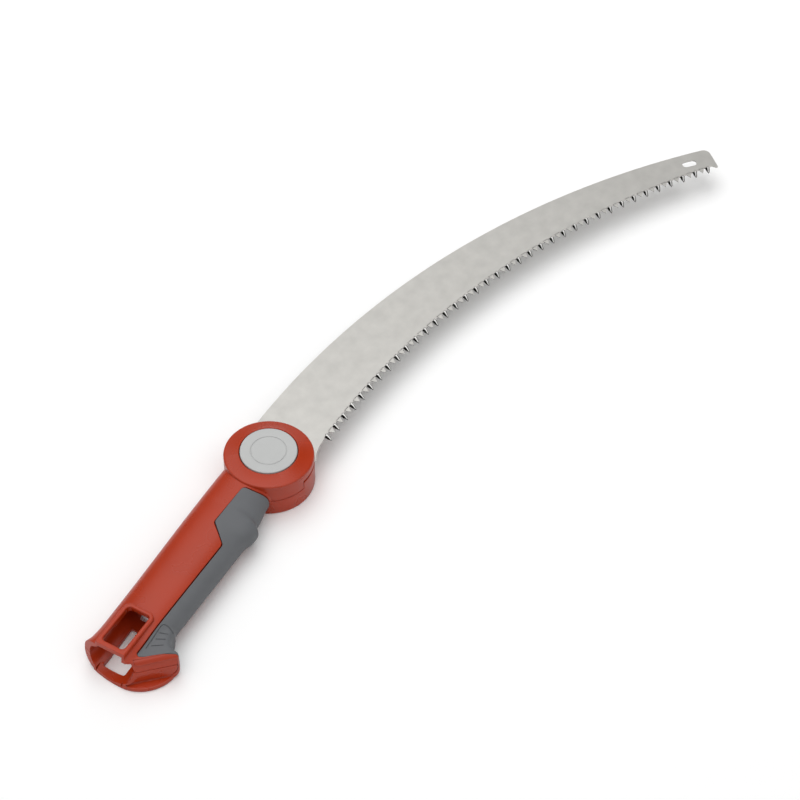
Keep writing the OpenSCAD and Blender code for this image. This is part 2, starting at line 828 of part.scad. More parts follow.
// Plan of the blade: its spine and tooth line are two long arcs round centres on the same side
module blade_plan() {
  spine_c = [spine_cx, spine_y - spine_r];
  edge_c = [edge_cx, -edge_y - edge_r];
  tooth_deg = tooth_pitch / edge_r * 180 / PI;
  heel_deg = asin((heel_x - edge_cx) / edge_r);
  // unit vectors along and across the blade's end
  out = [sin(tip_deg), cos(tip_deg)];
  ahead = [cos(tip_deg), -sin(tip_deg)];
  function edge_p(a, r) = edge_c + r * [sin(a), cos(a)];
  // angle on the tooth line's curve where it meets the blade's end
  end_v = spine_c - edge_c;
  end_t = -end_v * out + sqrt(pow(end_v * out, 2) - end_v * end_v + edge_r * edge_r);
  end_p = spine_c + end_t * out - edge_c;
  end_deg = atan2(end_p[0], end_p[1]);
  teeth = floor((end_deg - heel_deg) / tooth_deg);
  corner = spine_c + (spine_r - tip_round) * out - tip_round * ahead;
  polygon([
    [0, spine_y * 0.9], [spine_cx * 0.5, spine_y - 0.2],
    for (i = [0 : 40]) let (a = (tip_deg - 0.6) * i / 40) spine_c + spine_r * [sin(a), cos(a)],
    for (i = [1 : 6]) let (a = 90 - tip_deg - 15 * i) corner + tip_round * [cos(a), sin(a)],
    edge_c + end_p,
    for (i = [teeth - 1 : -1 : 0]) let (a = heel_deg + i * tooth_deg) each [
      edge_p(a + tooth_deg * 0.98, edge_r + tooth_h), edge_p(a + tooth_deg * 0.3, edge_r)
    ],
    for (i = [0 : 8]) let (a = 90 + i * 4)
      [heel_x - 3, -edge_y + 1.65 - heel_round] + heel_round * [cos(a), sin(a)],
    [heel_x / 4, -blade_disc_r * 0.9]
  ]);
}

module blade() {
  slot_at = [spine_cx, spine_y - spine_r]
    + (spine_r - hang_in) * [sin(tip_deg - hang_back / spine_r * 180 / PI),
      cos(tip_deg - hang_back / spine_r * 180 / PI)];
  color("gainsboro") difference() {
    union() {
      translate([0, 0, blade_z]) linear_extrude(blade_t) blade_plan();
      post(blade_disc_r, blade_z, blade_top);
    }
    post(blade_hole_r, 0, far);
    rivet_spots() {
      post(rivet_r, 0, far);
      translate([0, 0, blade_top - rivet_head_h])
        cylinder(r1 = rivet_r, r2 = rivet_head_r, h = rivet_head_h);
    }
    translate(slot_at) rotate([0, 0, -tip_deg]) linear_extrude(far)
      slot_plan(hang_len, hang_w);
  }
}

module upper_washer() {
  color("ivory") tube(well_out_r, blade_hole_r + 0.3, blade_top, well_z);
}

module lower_washer() {
  color("ivory") tube(carrier_r - 0.4, mesh_r + 0.45, lock_ring_top, carrier_z);
}

module shell_screws() {
  color(STEEL) {
    screw_bosses(screw_head_r, screw_seat_z - screw_head_h, screw_seat_z);
    screw_bosses(screw_r, screw_seat_z - 0.1, screw_seat_z + screw_len);
  }
}

// Side outline of the leaf: a flat foot on the socket's end wall and a bow below it
module leaf_side(t) {
  foot = 6;
  low = flange_t + 2.2;
  high = flange_t + socket_h - 2.4;
  span = high - foot - low;
  function bow(z) = leaf_bow * pow(sin(180 * (z - low) / span), 2);
  polygon([
    [0, high], [0, high - foot], for (i = [11 : -1 : 0]) let (z = low + span * i / 12) [bow(z), z],
    for (i = [0 : 11]) let (z = low + span * i / 12) [bow(z) + t, z], [t, high - foot], [t, high]
  ]);
}

module spring_hole(r) {
  translate([-socket_end - 2, 0, flange_t + socket_h - 5.4]) rotate([0, 90, 0])
    cylinder(r = r, h = 8);
}

module socket_spring() {
  color(STEEL) difference() {
    translate([-socket_end, leaf_w / 2, 0]) rotate([90, 0, 0]) linear_extrude(leaf_w)
      mirror([1, 0]) leaf_side(leaf_t);
    spring_hole(small_screw_r + fit_gap / 2);
  }
}

module spring_screw() {
  z = flange_t + socket_h - 5.4;
  color(STEEL) {
    translate([-socket_end - leaf_t - 1.2, 0, z]) rotate([0, 90, 0])
      cylinder(r = small_head_r + 0.3, h = 1.2);
    translate([-socket_end - leaf_t - 0.1, 0, z]) rotate([0, 90, 0])
      cylinder(r = small_screw_r, h = 3);
  }
}

upper_shell();
lower_shell();
grip();
button();
lock_gear();
gear_screws();
button_spring();
pivot_sleeve();
retaining_ring();
pivot_screw();
pivot_nut();
lock_ring();
blade();
blade_carrier();
blade_rivets();
upper_washer();
lower_washer();
shell_screws();
socket_spring();
spring_screw();
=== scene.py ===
"""Looks of a swivelling pole-saw head: painted casing, soft grip, push button and ground blade.

Shapes are worked out in millimetres in the CAD model's own frame, and each finished mesh is
scaled to metres. The origin is on the swivel axis at the hub's underside, +Z is up, the handle
runs towards -X, and the teeth and the finger side face -Y.
"""

import functools
import json
import math

import bmesh
import bpy
from bpy.props import FloatProperty, FloatVectorProperty, PointerProperty
from mathutils import Matrix, Vector


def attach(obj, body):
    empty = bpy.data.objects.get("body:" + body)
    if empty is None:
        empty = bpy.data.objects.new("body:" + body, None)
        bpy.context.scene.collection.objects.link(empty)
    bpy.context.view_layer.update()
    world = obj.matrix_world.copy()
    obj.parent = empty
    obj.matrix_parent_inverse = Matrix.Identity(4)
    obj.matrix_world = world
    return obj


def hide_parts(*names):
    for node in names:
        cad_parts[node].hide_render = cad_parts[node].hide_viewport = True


bl_info = {
    "name": "Pole saw head",
    "version": (1, 0, 0),
    "blender": (4, 5, 0),
    "location": "View3D > Sidebar > Saw",
    "description": "Builds the visible pieces of a swivelling pole-saw head on its CAD frame",
    "category": "Add Mesh",
}

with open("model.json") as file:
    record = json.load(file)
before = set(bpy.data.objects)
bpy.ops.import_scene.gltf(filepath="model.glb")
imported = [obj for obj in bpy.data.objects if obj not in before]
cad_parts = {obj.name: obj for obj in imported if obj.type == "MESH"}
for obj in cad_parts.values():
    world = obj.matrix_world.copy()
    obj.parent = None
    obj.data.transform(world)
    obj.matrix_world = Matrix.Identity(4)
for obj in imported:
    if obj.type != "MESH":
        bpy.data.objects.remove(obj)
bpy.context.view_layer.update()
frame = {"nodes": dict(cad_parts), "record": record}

MM = 0.001
UP = Vector((0, 0, 1))


def linear(hex_colour):
    """An sRGB hex colour as the linear RGBA that shaders take."""
    parts = [int(hex_colour[i : i + 2], 16) / 255 for i in (1, 3, 5)]
    flat = [c / 12.92 if c <= 0.04045 else ((c + 0.055) / 1.055) ** 2.4 for c in parts]
    return (*flat, 1.0)


# --- sizes in millimetres: the CAD model's, but for the few marked as the looks' own ------------

# hub, with the slot that the blade turns in
HUB_R, HUB_H, HUB_EDGE = 28.4, 27.5, 1.3
RING_FALL, RING_TILT = 2.65, 1.75
FLOOR_T, HUB_WALL, PART_Z = 2.6, 2.6, 12.4
SLOT_LOW, SLOT_HIGH = 17.5, 19.1
SLOT_FINGER_DEG, SLOT_BACK_DEG = 99.0, 122.0
COLLAR_R = HUB_R - HUB_WALL
ROOM_R = 23.5

# push button and its well
BUTTON_R, BUTTON_TOP, BUTTON_T, BUTTON_GAP = 18.0, 28.0, 2.2, 0.5
WELL_R, WELL_WALL, WELL_Z = BUTTON_R + BUTTON_GAP, 2.4, 19.4
WELL_OUT_R = WELL_R + WELL_WALL
WEB_TOP, WEB_Z = 22.6, 20.8
LEG_AT, LEG_W, LEG_T, GEAR_TOP = 11.5, 7.0, 2.6, 14.0
LEG_DEGREES = (30, 150, 270)

# handle
HANDLE_LEN, LIP_REACH = 173.0, 5.5
BACK_HUB, BACK_END, BACK_FLARE = 21.2, 18.2, 1.3
FINGER_HUB, FINGER_STOP, FINGER_STOP_AT, WAIST = 16.3, 4.2, 46.0, 2.0
HANDLE_TOP, HANDLE_LIFT, SQUARENESS = 25.2, 1.2, 2.4

# soft grip
GRIP_T, GRIP_FRONT = 3.0, 2.2
SEAM_FRONT_Y, SEAM_REAR_Y, JOG_AT, JOG_LEN = 0.6, 14.0, 62.0, 11.6

# finger hook with its end plate and foot flange
HOOK_Y, HOOK_IN, HOOK_ROUND, HOOK_TOP = 34.6, 19.5, 3.2, 21.0
FACE_DEG, FACE_LEAN, TIP_CORNER = 224.5, 13.0, 9.0
HOOK_TIP = Vector((-(HANDLE_LEN - HOOK_IN), -(HOOK_Y - HOOK_ROUND)))
FLANGE_T = 2.8

# pole socket, latch window and lead-in ramp
SOCKET_W, SOCKET_H, SOCKET_DEPTH = 29.0, 21.0, 41.0
SOCKET_END = HANDLE_LEN - SOCKET_DEPTH
MOUTH_BOW, BOW_FADE = 74.0, 4.2
WINDOW_LEN, WINDOW_W, WINDOW_IN, RIM_W, RIM_Z = 28.0, 15.5, 3.2, 2.6, 27.0
WINDOW_X = -(HANDLE_LEN - WINDOW_IN - WINDOW_LEN / 2)
RAMP_W = 18.0
MOUTH_LEAN = math.atan(LIP_REACH / RIM_Z)

# screws of the casing
SCREW_HEAD_R, SCREW_SEAT_Z, FIT_GAP = 2.9, 6.4, 0.2
SCREW_SPOTS = [(-0.22 * HANDLE_LEN, BACK_HUB / 2), (-0.38 * HANDLE_LEN, BACK_END / 2)]
for along in (0.55 * HANDLE_LEN, SOCKET_END - 0.047 * HANDLE_LEN):
    SCREW_SPOTS += [(-along, BACK_END / 2), (-along, -SOCKET_W / 4)]

# blade
BLADE_Z, BLADE_T, BLADE_DISC_R, BLADE_HOLE_R = 17.7, 1.2, COLLAR_R - 0.4, 16.5
SPINE_C, SPINE_R, TIP_DEG, TIP_ROUND = Vector((28.1, -534.0)), 556.9, 40.9, 5.0
EDGE_C, EDGE_R = Vector((50.4, -596.2)), 573.8
TOOTH_PITCH, HEEL_X, HEEL_ROUND = 5.0, 34.0, 31.0
HANG_LEN, HANG_W, HANG_IN, HANG_BACK = 10.5, 5.5, 9.3, 18.0

# the looks' own: gaps along the seams, roundings, and forms that are drawn finer than in the CAD
PART_GAP, SEAM_GAP = 0.2, 0.8
NECK_DROP, MOUTH_FLARE = 0.1, 1.8
TIP_TOP, TIP_TOP_BACK, ROLL = 5.0, 6.5, 2.0
SHOULDER_W, SHOULDER_Z, SHOULDER_T, BAR_T = 20.7, 20.5, 3.0, 2.7
WINDOW_ROUND, WINDOW_LIP, RIM_ROUND, RIM_DEEP = 2.4, 0.8, 4.6, 4.4
DRUM_ROUND, EDGE_BREAK = 0.6, 0.25
TOOTH_ROOT = 2.5
GROOVE_W, GROOVE_DEPTH = 0.5, 0.4
VOXEL = 0.65

# beyond every piece
FAR = 300.0

# turns a plan in x and y into a section across the x axis
ACROSS_X = Matrix(((0, 0, 1, 0), (1, 0, 0, 0), (0, 1, 0, 0), (0, 0, 0, 1)))

# --- looks of the stage -------------------------------------------------------------------------

# light of the room: sine of the rise above the horizon, and level
ROOM_LEVELS = (
    (0.04, 0.3), (0.25, 0.66), (0.42, 0.5), (0.62, 0.6), (0.7, 0.8), (0.75, 1.1), (0.8, 1.3),
    (0.88, 1.4), (0.96, 1.55),
)
# dark flags: direction and rise in degrees, cosines where each is full and where it ends, level
FLAGS = ((-16, 42, 0.96, 0.87, 0.1), (72, 4, 0.94, 0.75, 0.35))
FLOOR_SIZE, FLOOR_Z = 6.0, -0.0002
LAMP_AT, LAMP_AIM, LAMP_SIZE = (0.55, 0.45, 1.4), (0.05, 0, 0), 1.3
CAMERA_AT, CAMERA_TILT, CAMERA_TURN = (-0.80684, -0.57020, 1.21654), 40.8, -59.5
CAMERA_LENS, CAMERA_SENSOR = 111.6, 36


# --- shaping helpers ----------------------------------------------------------------------------


def polar(radius, degrees):
    """A place in plan by its distance and its angle from +X."""
    a = math.radians(degrees)
    return Vector((radius * math.cos(a), radius * math.sin(a)))


def smooth(t):
    """An eased step from 0 to 1."""
    t = max(0.0, min(1.0, t))
    return t * t * (3 - 2 * t)


def loft(rings):
    """A closed skin over a row of rings with the same number of points."""
    bm = bmesh.new()
    place = bm.verts.layers.int.new("place")
    bmesh.ops.create_circle(bm, segments=len(rings[0]), radius=1)
    for k, v in enumerate(bm.verts):
        v[place], v.co = k, rings[0][k]
    ends = [bm.edges[:]]
    edges = ends[0]
    for ring in rings[1:]:
        made = bmesh.ops.extrude_edge_only(bm, edges=edges)["geom"]
        fresh = {g for g in made if isinstance(g, bmesh.types.BMVert)}
        for v in fresh:
            v.co = ring[v[place]]
        edges = [
            g for g in made if isinstance(g, bmesh.types.BMEdge) and set(g.verts) <= fresh
        ]
    ends.append(edges)
    for end in ends:
        bmesh.ops.contextual_create(bm, geom=end)
    bm.verts.layers.int.remove(place)
    bmesh.ops.recalc_face_normals(bm, faces=bm.faces)
    return bm


def prism(outline, low, high, round_top=0.0, round_bottom=0.0):
    """A plan outline pushed up from low to high, with its edges rounded."""
    bm = bmesh.new()
    base = bm.faces.new([bm.verts.new((p[0], p[1], low)) for p in outline])
    made = bmesh.ops.extrude_face_region(bm, geom=[base])["geom"]
    top = [g for g in made if isinstance(g, bmesh.types.BMVert)]
    bmesh.ops.translate(bm, vec=(0, 0, high - low), verts=top)
    bmesh.ops.recalc_face_normals(bm, faces=bm.faces)
    for width, z in ((round_top, high), (round_bottom, low)):
        rim = [e for e in bm.edges if all(abs(v.co.z - z) < 1e-4 for v in e.verts)]
        if width:
            bmesh.ops.bevel(
                bm, geom=rim, offset=width, segments=5, profile=0.5, affect="EDGES", material=-1
            )
    return bm


def block(low, high):
    """A box between two corners."""
    bm = bmesh.new()
    bmesh.ops.create_cube(bm, size=1)
    low, high = Vector(low), Vector(high)
    bmesh.ops.transform(
        bm,
        matrix=Matrix.Translation((low + high) / 2) @ Matrix.Diagonal((*(high - low), 1)),
        verts=bm.verts,
    )
    return bm


def post(radius, low, high, at=(0, 0), segments=48):
    """An upright cylinder."""
    bm = bmesh.new()
    bmesh.ops.create_cone(
        bm, cap_ends=True, segments=segments, radius1=radius, radius2=radius, depth=high - low
    )
    bmesh.ops.translate(bm, vec=(at[0], at[1], (low + high) / 2), verts=bm.verts)
    return bm


def turned(profile, steps=160):
    """A closed profile of radius and height, turned round the swivel axis."""
    bm = bmesh.new()
    verts = [bm.verts.new((r, 0, z)) for r, z in profile]
    edges = [bm.edges.new((verts[i - 1], v)) for i, v in enumerate(verts)]
    bmesh.ops.spin(
        bm, geom=verts + edges, cent=(0, 0, 0), axis=UP, dvec=(0, 0, 0), angle=2 * math.pi,
        steps=steps, use_merge=True, use_duplicate=False,
    )
    bmesh.ops.remove_doubles(bm, verts=bm.verts, dist=1e-4)
    bmesh.ops.recalc_face_normals(bm, faces=bm.faces)
    return bm


def through(shape, kind, tool=None, **settings):
    """Put a shape through one modifier, with another shape as its tool; the first is changed."""
    scene, works = bpy.context.scene, []
    for bm in filter(None, (shape, tool)):
        mesh = bpy.data.meshes.new("work")
        bm.to_mesh(mesh)
        works.append(bpy.data.objects.new("work", mesh))
        scene.collection.objects.link(works[-1])
    step = works[0].modifiers.new("work", kind)
    for name, value in settings.items():
        setattr(step, name, value)
    if tool:
        step.object = works[1]
        tool.free()
    bpy.context.view_layer.update()
    ready = works[0].evaluated_get(bpy.context.evaluated_depsgraph_get())
    made = bpy.data.meshes.new_from_object(ready)
    shape.clear()
    shape.from_mesh(made)
    bpy.data.meshes.remove(made)
    for work in works:
        mesh = work.data
        bpy.data.objects.remove(work)
        bpy.data.meshes.remove(mesh)
    if not shape.faces:
        raise RuntimeError("a cut left nothing of a shape")
    return shape


def combine(base, tool, how="DIFFERENCE"):
    """Cut, join or intersect one closed shape with another; the first is changed."""
    return through(base, "BOOLEAN", tool, operation=how, solver="MANIFOLD")


def moved(bm, matrix):
    """Place a shape that was made in its own frame."""
    bmesh.ops.transform(bm, matrix=matrix, verts=bm.verts)
    return bm


def finish_piece(bm, name, body, materials, stands_for=(), sharp=32):
    """Turn a shape in millimetres into a piece of the scene, in metres, on its body."""
    bmesh.ops.scale(bm, vec=(MM, MM, MM), verts=bm.verts)
    mesh = bpy.data.meshes.new(name)
    bm.to_mesh(mesh)
    bm.free()
    mesh.shade_smooth()
    mesh.set_sharp_from_angle(angle=math.radians(sharp))
    piece = bpy.data.objects.new(name, mesh)
    bpy.context.scene.collection.objects.link(piece)
    for material in materials:
        mesh.materials.append(material)
    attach(piece, body)
    if stands_for:
        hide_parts(*stands_for)
    return piece


# --- the handle's form --------------------------------------------------------------------------


def back_y(u):
    """The handle's half width on the spine side, at a distance u from the swivel axis."""
    return (
        BACK_HUB
        - (BACK_HUB - BACK_END) * smooth((u - HUB_R) / (SOCKET_END - HUB_R + 25))
        + BACK_FLARE * smooth((u - HANDLE_LEN + 15) / 18)
        + MOUTH_FLARE * smooth((u - HANDLE_LEN + 7) / 9)
    )


def finger_y(u):
    """The half width on the finger side: a stop behind the hub, a waist, then the hook's root."""
    return (
        FINGER_HUB
        + 3 * smooth((u - 25) / 20)
        + FINGER_STOP * smooth((u - FINGER_STOP_AT + 1) / 4.5)
        - WAIST * smooth((u - FINGER_STOP_AT - 8) / 9)
        - (FINGER_STOP - WAIST + 1.6) * smooth((u - HANDLE_LEN + 33) / 22)
    )


def squared_ring(u, centre_y, centre_z, half_w, half_h, count):
    """Points of a squared ellipse across the handle at a distance u from the swivel axis."""
    points = []
    for k in range(count):
        a = 2 * math.pi * (k + 0.5) / count
        c, s = math.cos(a), math.sin(a)
        points.append(
            (
                -u,
                centre_y + half_w * math.copysign(abs(c) ** (2 / SQUARENESS), c),
                centre_z + half_h * math.copysign(abs(s) ** (2 / SQUARENESS), s),
            )
        )
    return points


def handle_form(start, end, inset, pitch=1.5, count=112):
    """The handle's solid form between two distances, drawn in by an inset."""
    steps = max(2, round((end - start) / pitch))
    rings = []
    for i in range(steps + 1):
        u = start + (end - start) * i / steps
        back, finger = back_y(u), -finger_y(u)
        top = HANDLE_TOP - NECK_DROP * (1 - smooth((u - 25) / 35))
        low = HANDLE_LIFT * (1 - smooth((u - HANDLE_LEN + 35) / 18))
        rings.append(
            squared_ring(
                u, (back + finger) / 2, (top + low) / 2, (back - finger) / 2 - inset,
                (top - low) / 2 - inset, count,
            )
        )
    return loft(rings)


def rounded(corners):
    """A plan outline of (x, y, radius) corners, each rounded by an arc of its radius."""
    out = []
    for i, (x, y, r) in enumerate(corners):
        p = Vector((x, y))
        if not r:
            out.append(p)
            continue
        before = (Vector(corners[i - 1][:2]) - p).normalized()
        after = (Vector(corners[(i + 1) % len(corners)][:2]) - p).normalized()
        half_angle = before.angle(after) / 2
        reach = r / math.tan(half_angle)
        centre = p + (before + after).normalized() * (r / math.sin(half_angle))
        start, end = p + before * reach - centre, p + after * reach - centre
        out += [centre + start.lerp(end, k / 8).normalized() * r for k in range(9)]
    return out


def grip_plan(gap):
    """Plan of the soft grip's region; the casing's cut is larger by the seam's gap."""
    front, rear = HUB_R + GRIP_FRONT - gap, HANDLE_LEN - 6
    start = 180 + math.degrees(math.asin(SEAM_FRONT_Y / front))
    corners = [(*polar(front, start), 2.6 + gap)]
    corners += [(*polar(front, start + (275 - start) * i / 24), 0) for i in range(3, 25)]
    corners += [(0, -100, 0), (-rear + 15.4, -100, 0)]
    for u, y in ((rear - 15.4, 34.4), (rear - 11.2, 28), (rear - 7.2, 23.3), (rear - 3.2, 18.9)):
        corners.append((-u - gap, -y + gap, 0))
    corners.append((-rear - gap, -SEAM_REAR_Y + gap, 1.2 + gap))
    corners.append((-JOG_AT - JOG_LEN, -SEAM_REAR_Y + gap, 3.4))
    corners.append((-JOG_AT - gap, -SEAM_FRONT_Y + gap / 2, 3.0 + gap))
    return rounded(corners)


def hook_plan():
    """Plan of the hook behind the grip, from its root round its tip to its end face."""
    face = polar(HOOK_ROUND, FACE_DEG)
    along = Vector((-1, 1)) * (HOOK_Y - 10)
    points = [Vector((HOOK_TIP.x + 16, -16))]
    points += [Vector(p) + HOOK_TIP for p in ((14.5, 8.6), (8.5, 7.4), (4.6, 4.8))]
    points += [HOOK_TIP + polar(HOOK_ROUND, 20 - (380 - FACE_DEG) * i / 14) for i in range(15)]
    return points + [HOOK_TIP + face + along, Vector((10 - HANDLE_LEN, -6))]


def at_face(height):
    """Frame of the end plate's face: x points out of it, y along it to the tip, z up it."""
    return (
        Matrix.Translation((*HOOK_TIP, height))
        @ Matrix.Rotation(math.radians(FACE_DEG), 4, "Z")
        @ Matrix.Translation((HOOK_ROUND, 0, 0))
    )


def on_face():
    """The same frame at the parting line, leant back with the face."""
    return at_face(PART_Z) @ Matrix.Rotation(math.radians(-FACE_LEAN), 4, "Y")


def face_cut(low):
    """Everything beyond the end plate's leaning face and its rolled upper edge, above a height."""
    beyond = moved(block((0, -FAR, -FAR), (FAR, FAR, FAR)), on_face())
    near_edge = block((-3.8, -24, -5), (20, 20, 5))
    lean = math.tan(math.radians(FACE_LEAN))
    # planes of the roll, each by its turn in degrees and its depth under the hook's top
    for turn, under in ((30, 2.6), (48, 1.6), (66, 0.8), (82, 0.3)):
        height = HOOK_TOP - under
        back = lean * (height - PART_Z) + ROLL * (1 - under / 2.8) ** 2
        roll = Matrix.Translation((-back, 0, 0)) @ Matrix.Rotation(math.radians(-turn), 4, "Y")
        edge = moved(block((0, -FAR, -FAR), (FAR, FAR, FAR)), roll)
        edge = moved(combine(edge, near_edge.copy(), "INTERSECT"), at_face(height))
        beyond = combine(beyond, edge, "UNION")
    return combine(beyond, block((-FAR, -FAR, low), (FAR, FAR, FAR)), "INTERSECT")


def tip_cut():
    """The space outside the quarter rounds at the two corners of the hook's tip."""
    cuts = []
    for r, centre_z, low, high, back in (
        (TIP_CORNER, TIP_CORNER, -1, TIP_CORNER, 90),
        (TIP_TOP, HOOK_TOP - TIP_TOP, HOOK_TOP - TIP_TOP, HOOK_TOP + 4, TIP_TOP_BACK),
    ):
        edge = HOOK_ROUND - r
        corner = block((-back, edge, low), (90, 60, high))
        bar = moved(
            post(r, -95, 95, segments=96),
            Matrix.Translation((0, edge, centre_z)) @ Matrix.Rotation(math.radians(90), 4, "Y"),
        )
        cuts.append(moved(combine(corner, bar), at_face(0)))
    return combine(cuts[0], cuts[1], "UNION")


@functools.cache
def outside():
    """Handle and hook in one, before they are parted, with the hook's root run into the handle."""
    bm = handle_form(HUB_R - 8, HANDLE_LEN + LIP_REACH + 4, 0)
    bm = combine(bm, prism(hook_plan(), 0, HOOK_TOP, 3.0), "UNION")
    bm = through(bm, "REMESH", mode="VOXEL", voxel_size=VOXEL)
    saddle = [v for v in bm.verts if 130 < -v.co.x < 172 and v.co.y < -13 and v.co.z > 5]
    for verts, rounds in ((saddle, 16), (bm.verts, 2)):
        for _ in range(rounds):
            bmesh.ops.smooth_vert(
                bm, verts=verts, factor=0.5, use_axis_x=True, use_axis_y=True, use_axis_z=True
            )
    return combine(bm, tip_cut())


def flange_plan():
    """Foot flange round the mouth's lower lip and the hook's end face."""
    reach = HANDLE_LEN + LIP_REACH
    centre = Vector((-154.2, -8.2))
    r = (centre - Vector((-reach, -12))).length
    points = [centre + polar(r, 186 + i * 83 / 28) for i in range(29)]
    return points + [
        HOOK_TIP + Vector((3, 4)), (10 - HANDLE_LEN, 0), (10 - HANDLE_LEN, 12), (-reach, 12),
    ]


def round_rect(length, width, radius, mouth=0.0):
    """Plan of the latch window or its rim; the mouth's end can be longer."""
    x, y = length / 2, width / 2
    corners = [(-x - mouth, -y), (x, -y), (x, y), (-x - mouth, y)]
    return [p + Vector((WINDOW_X, 0)) for p in rounded([(*c, radius) for c in corners])]


def window_cutter():
    """The latch window's space, rounded outwards at the rim's top."""
    levels = [(PART_Z, 0.0)]
    for turn in (0, 22, 45, 67, 90):
        a = math.radians(turn)
        levels.append(
            (RIM_Z - WINDOW_LIP + WINDOW_LIP * math.sin(a), WINDOW_LIP * (1 - math.cos(a)))
        )
    levels.append((RIM_Z + 1, WINDOW_LIP))
    rings = []
    for z, more in levels:
        plan = round_rect(WINDOW_LEN + 2 * more, WINDOW_W + 2 * more, WINDOW_ROUND + more)
        rings.append([(p.x, p.y, z) for p in plan])
    return loft(rings)


def grip_seat(gap):
    """The space round the handle's core that the soft grip fills."""
    seat = prism(grip_plan(gap), -1, RIM_Z + 1)
    return combine(seat, handle_form(HUB_R - 7, HANDLE_LEN + LIP_REACH + 2, GRIP_T, 3, 80))


def mouth_cut():
    """Everything beyond the socket's mouth, which leans out to a bowed lower lip."""
    bm = block((-FAR, -FAR / 2, -FAR / 2), (0, FAR / 2, FAR / 2))
    bow = block((-1, -60, -FAR / 2), (LIP_REACH, 60, FAR / 2))
    fade = Matrix.Rotation(math.radians(-BOW_FADE), 4, "Y")
    round_bow = moved(
        post(MOUTH_BOW, -FAR, FAR, segments=240),
        fade @ Matrix.Translation((MOUTH_BOW - 2, -8, 0)),
    )
    bm = combine(bm, combine(bow, round_bow), "UNION")
    stand = Matrix.Translation((-HANDLE_LEN, 0, RIM_Z))
    return moved(bm, stand @ Matrix.Rotation(MOUTH_LEAN, 4, "Y"))


def socket_form():
    """The pole's space: a squared oval that flares at the mouth, with shoulders beside the bar."""
    mid = SOCKET_H / 2 + FLANGE_T - 0.2
    mouth = HANDLE_LEN + 9
    rings = []
    for i in range(25):
        u = SOCKET_END + (mouth - SOCKET_END) * i / 24
        flare = 1.4 * smooth((u - HANDLE_LEN + 8) / 14)
        rings.append(
            squared_ring(u, 0, mid, SOCKET_W / 2 + flare, SOCKET_H / 2 + flare / 2, 96)
        )
    bm = loft(rings)
    half_w, bar = SHOULDER_W / 2 - 1.6, RIM_Z - BAR_T
    bm = combine(bm, block((-mouth, -half_w, 14), (WINDOW_X, half_w, bar)), "UNION")
    side = block((-mouth, -17.6, PART_Z), (-HANDLE_LEN + 1.2, -6, SHOULDER_Z))
    bm = combine(bm, side, "UNION")
    # what stays on either side of the bar, as sections across the handle
    back = [
        (half_w, 40), (half_w, 24.9), (9.6, 22.3), (13.7, SHOULDER_Z - 1.2), (40, 19), (40, 40),
    ]
    finger = [(-half_w, 40), (-half_w, SHOULDER_Z), (-40, SHOULDER_Z), (-40, 40)]
    for outline in (back, finger):
        shoulder = prism(outline, -HANDLE_LEN - 20, SHOULDER_T - HANDLE_LEN)
        bm = combine(bm, moved(shoulder, ACROSS_X))
    return bm


def plate_recess():
    """The end plate's sunk face, inside a rolled rim, and the groove above the foot flange."""
    top = (HOOK_TOP - PART_Z) / math.cos(math.radians(FACE_LEAN)) - 3.0
    foot = FLANGE_T - PART_Z + 0.7
    tip = HOOK_ROUND - 1.5
    corner = (tip, foot, TIP_CORNER - 2.2)
    recess = prism(
        rounded([(-34, foot, 0), corner, (tip, top, 2.2), (-21, top - 0.6, 4), (-34, top + 6, 0)]),
        0, 8,
    )
    groove = rounded([(-30, foot, 0), corner, (tip, foot + 9, 0)])
    inner = [p + Vector((-0.4, 1.0)) for p in groove]
    slot = prism(groove + inner[::-1], -2.2, 8)
    stand = on_face() @ ACROSS_X
    return moved(recess, stand @ Matrix.Translation((0, 0, -0.5))), moved(slot, stand)


def casing_handle():
    """Both halves of the painted casing behind the hub, in one."""
    bm = combine(outside().copy(), grip_seat(SEAM_GAP))
    bm = combine(bm, combine(prism(flange_plan(), 0, FLANGE_T, 0.9, 0.5), tip_cut()), "UNION")

    # latch windows with the raised rim of the upper one, then the pole's space
    length, width = WINDOW_LEN + 2 * RIM_W, WINDOW_W + 2 * RIM_W
    rim = prism(round_rect(length, width, RIM_ROUND, 8), RIM_Z - RIM_DEEP, RIM_Z, 0.9)
    rim = combine(rim, window_cutter())
    bm = combine(bm, prism(round_rect(WINDOW_LEN, WINDOW_W, WINDOW_ROUND), PART_Z, RIM_Z + 1))
    bm = combine(bm, prism(round_rect(WINDOW_LEN, WINDOW_W, 1.2, 2.4), -1, PART_Z + 1))
    bm = combine(bm, rim, "UNION")
    bm = combine(bm, socket_form())

    # lead-in ramp between the mouth and the lower window, with a wedge cut at each side
    ramp_x = WINDOW_X - WINDOW_LEN / 2
    for side, start in ((-1, 6.5), (1, 2.0)):
        y = side * (RAMP_W / 2 + 0.7)
        notch = [(ramp_x - start, y), (ramp_x - 12, y - 1.5), (ramp_x - 12, y + 1.5)]
        bm = combine(bm, prism(notch, 1.2, 7))
    lean = MOUTH_LEAN + math.radians(2)
    ramp = moved(
        block((-12, -RAMP_W / 2, 0), (0, RAMP_W / 2, 4)),
        Matrix.Translation((ramp_x - 0.6, 0, FLANGE_T + 0.6)) @ Matrix.Rotation(lean, 4, "Y"),
    )
    bm = combine(bm, ramp)

    # the mouth's slope, the hook's end face, and room for the hub
    bm = combine(bm, mouth_cut())
    bm = combine(bm, face_cut(FLANGE_T))
    for cutter in plate_recess():
        bm = combine(bm, cutter)
    return combine(bm, post(HUB_R - 1.2, -1, 40, segments=160))


def half(bm, upper):
    """One half of the casing's handle, with a fine gap along the parting line."""
    low, high = (-2, PART_Z + PART_GAP) if upper else (PART_Z - PART_GAP, 40)
    return combine(bm, block((-FAR, -60, low), (FAR, 60, high)))


# --- finishes -----------------------------------------------------------------------------------


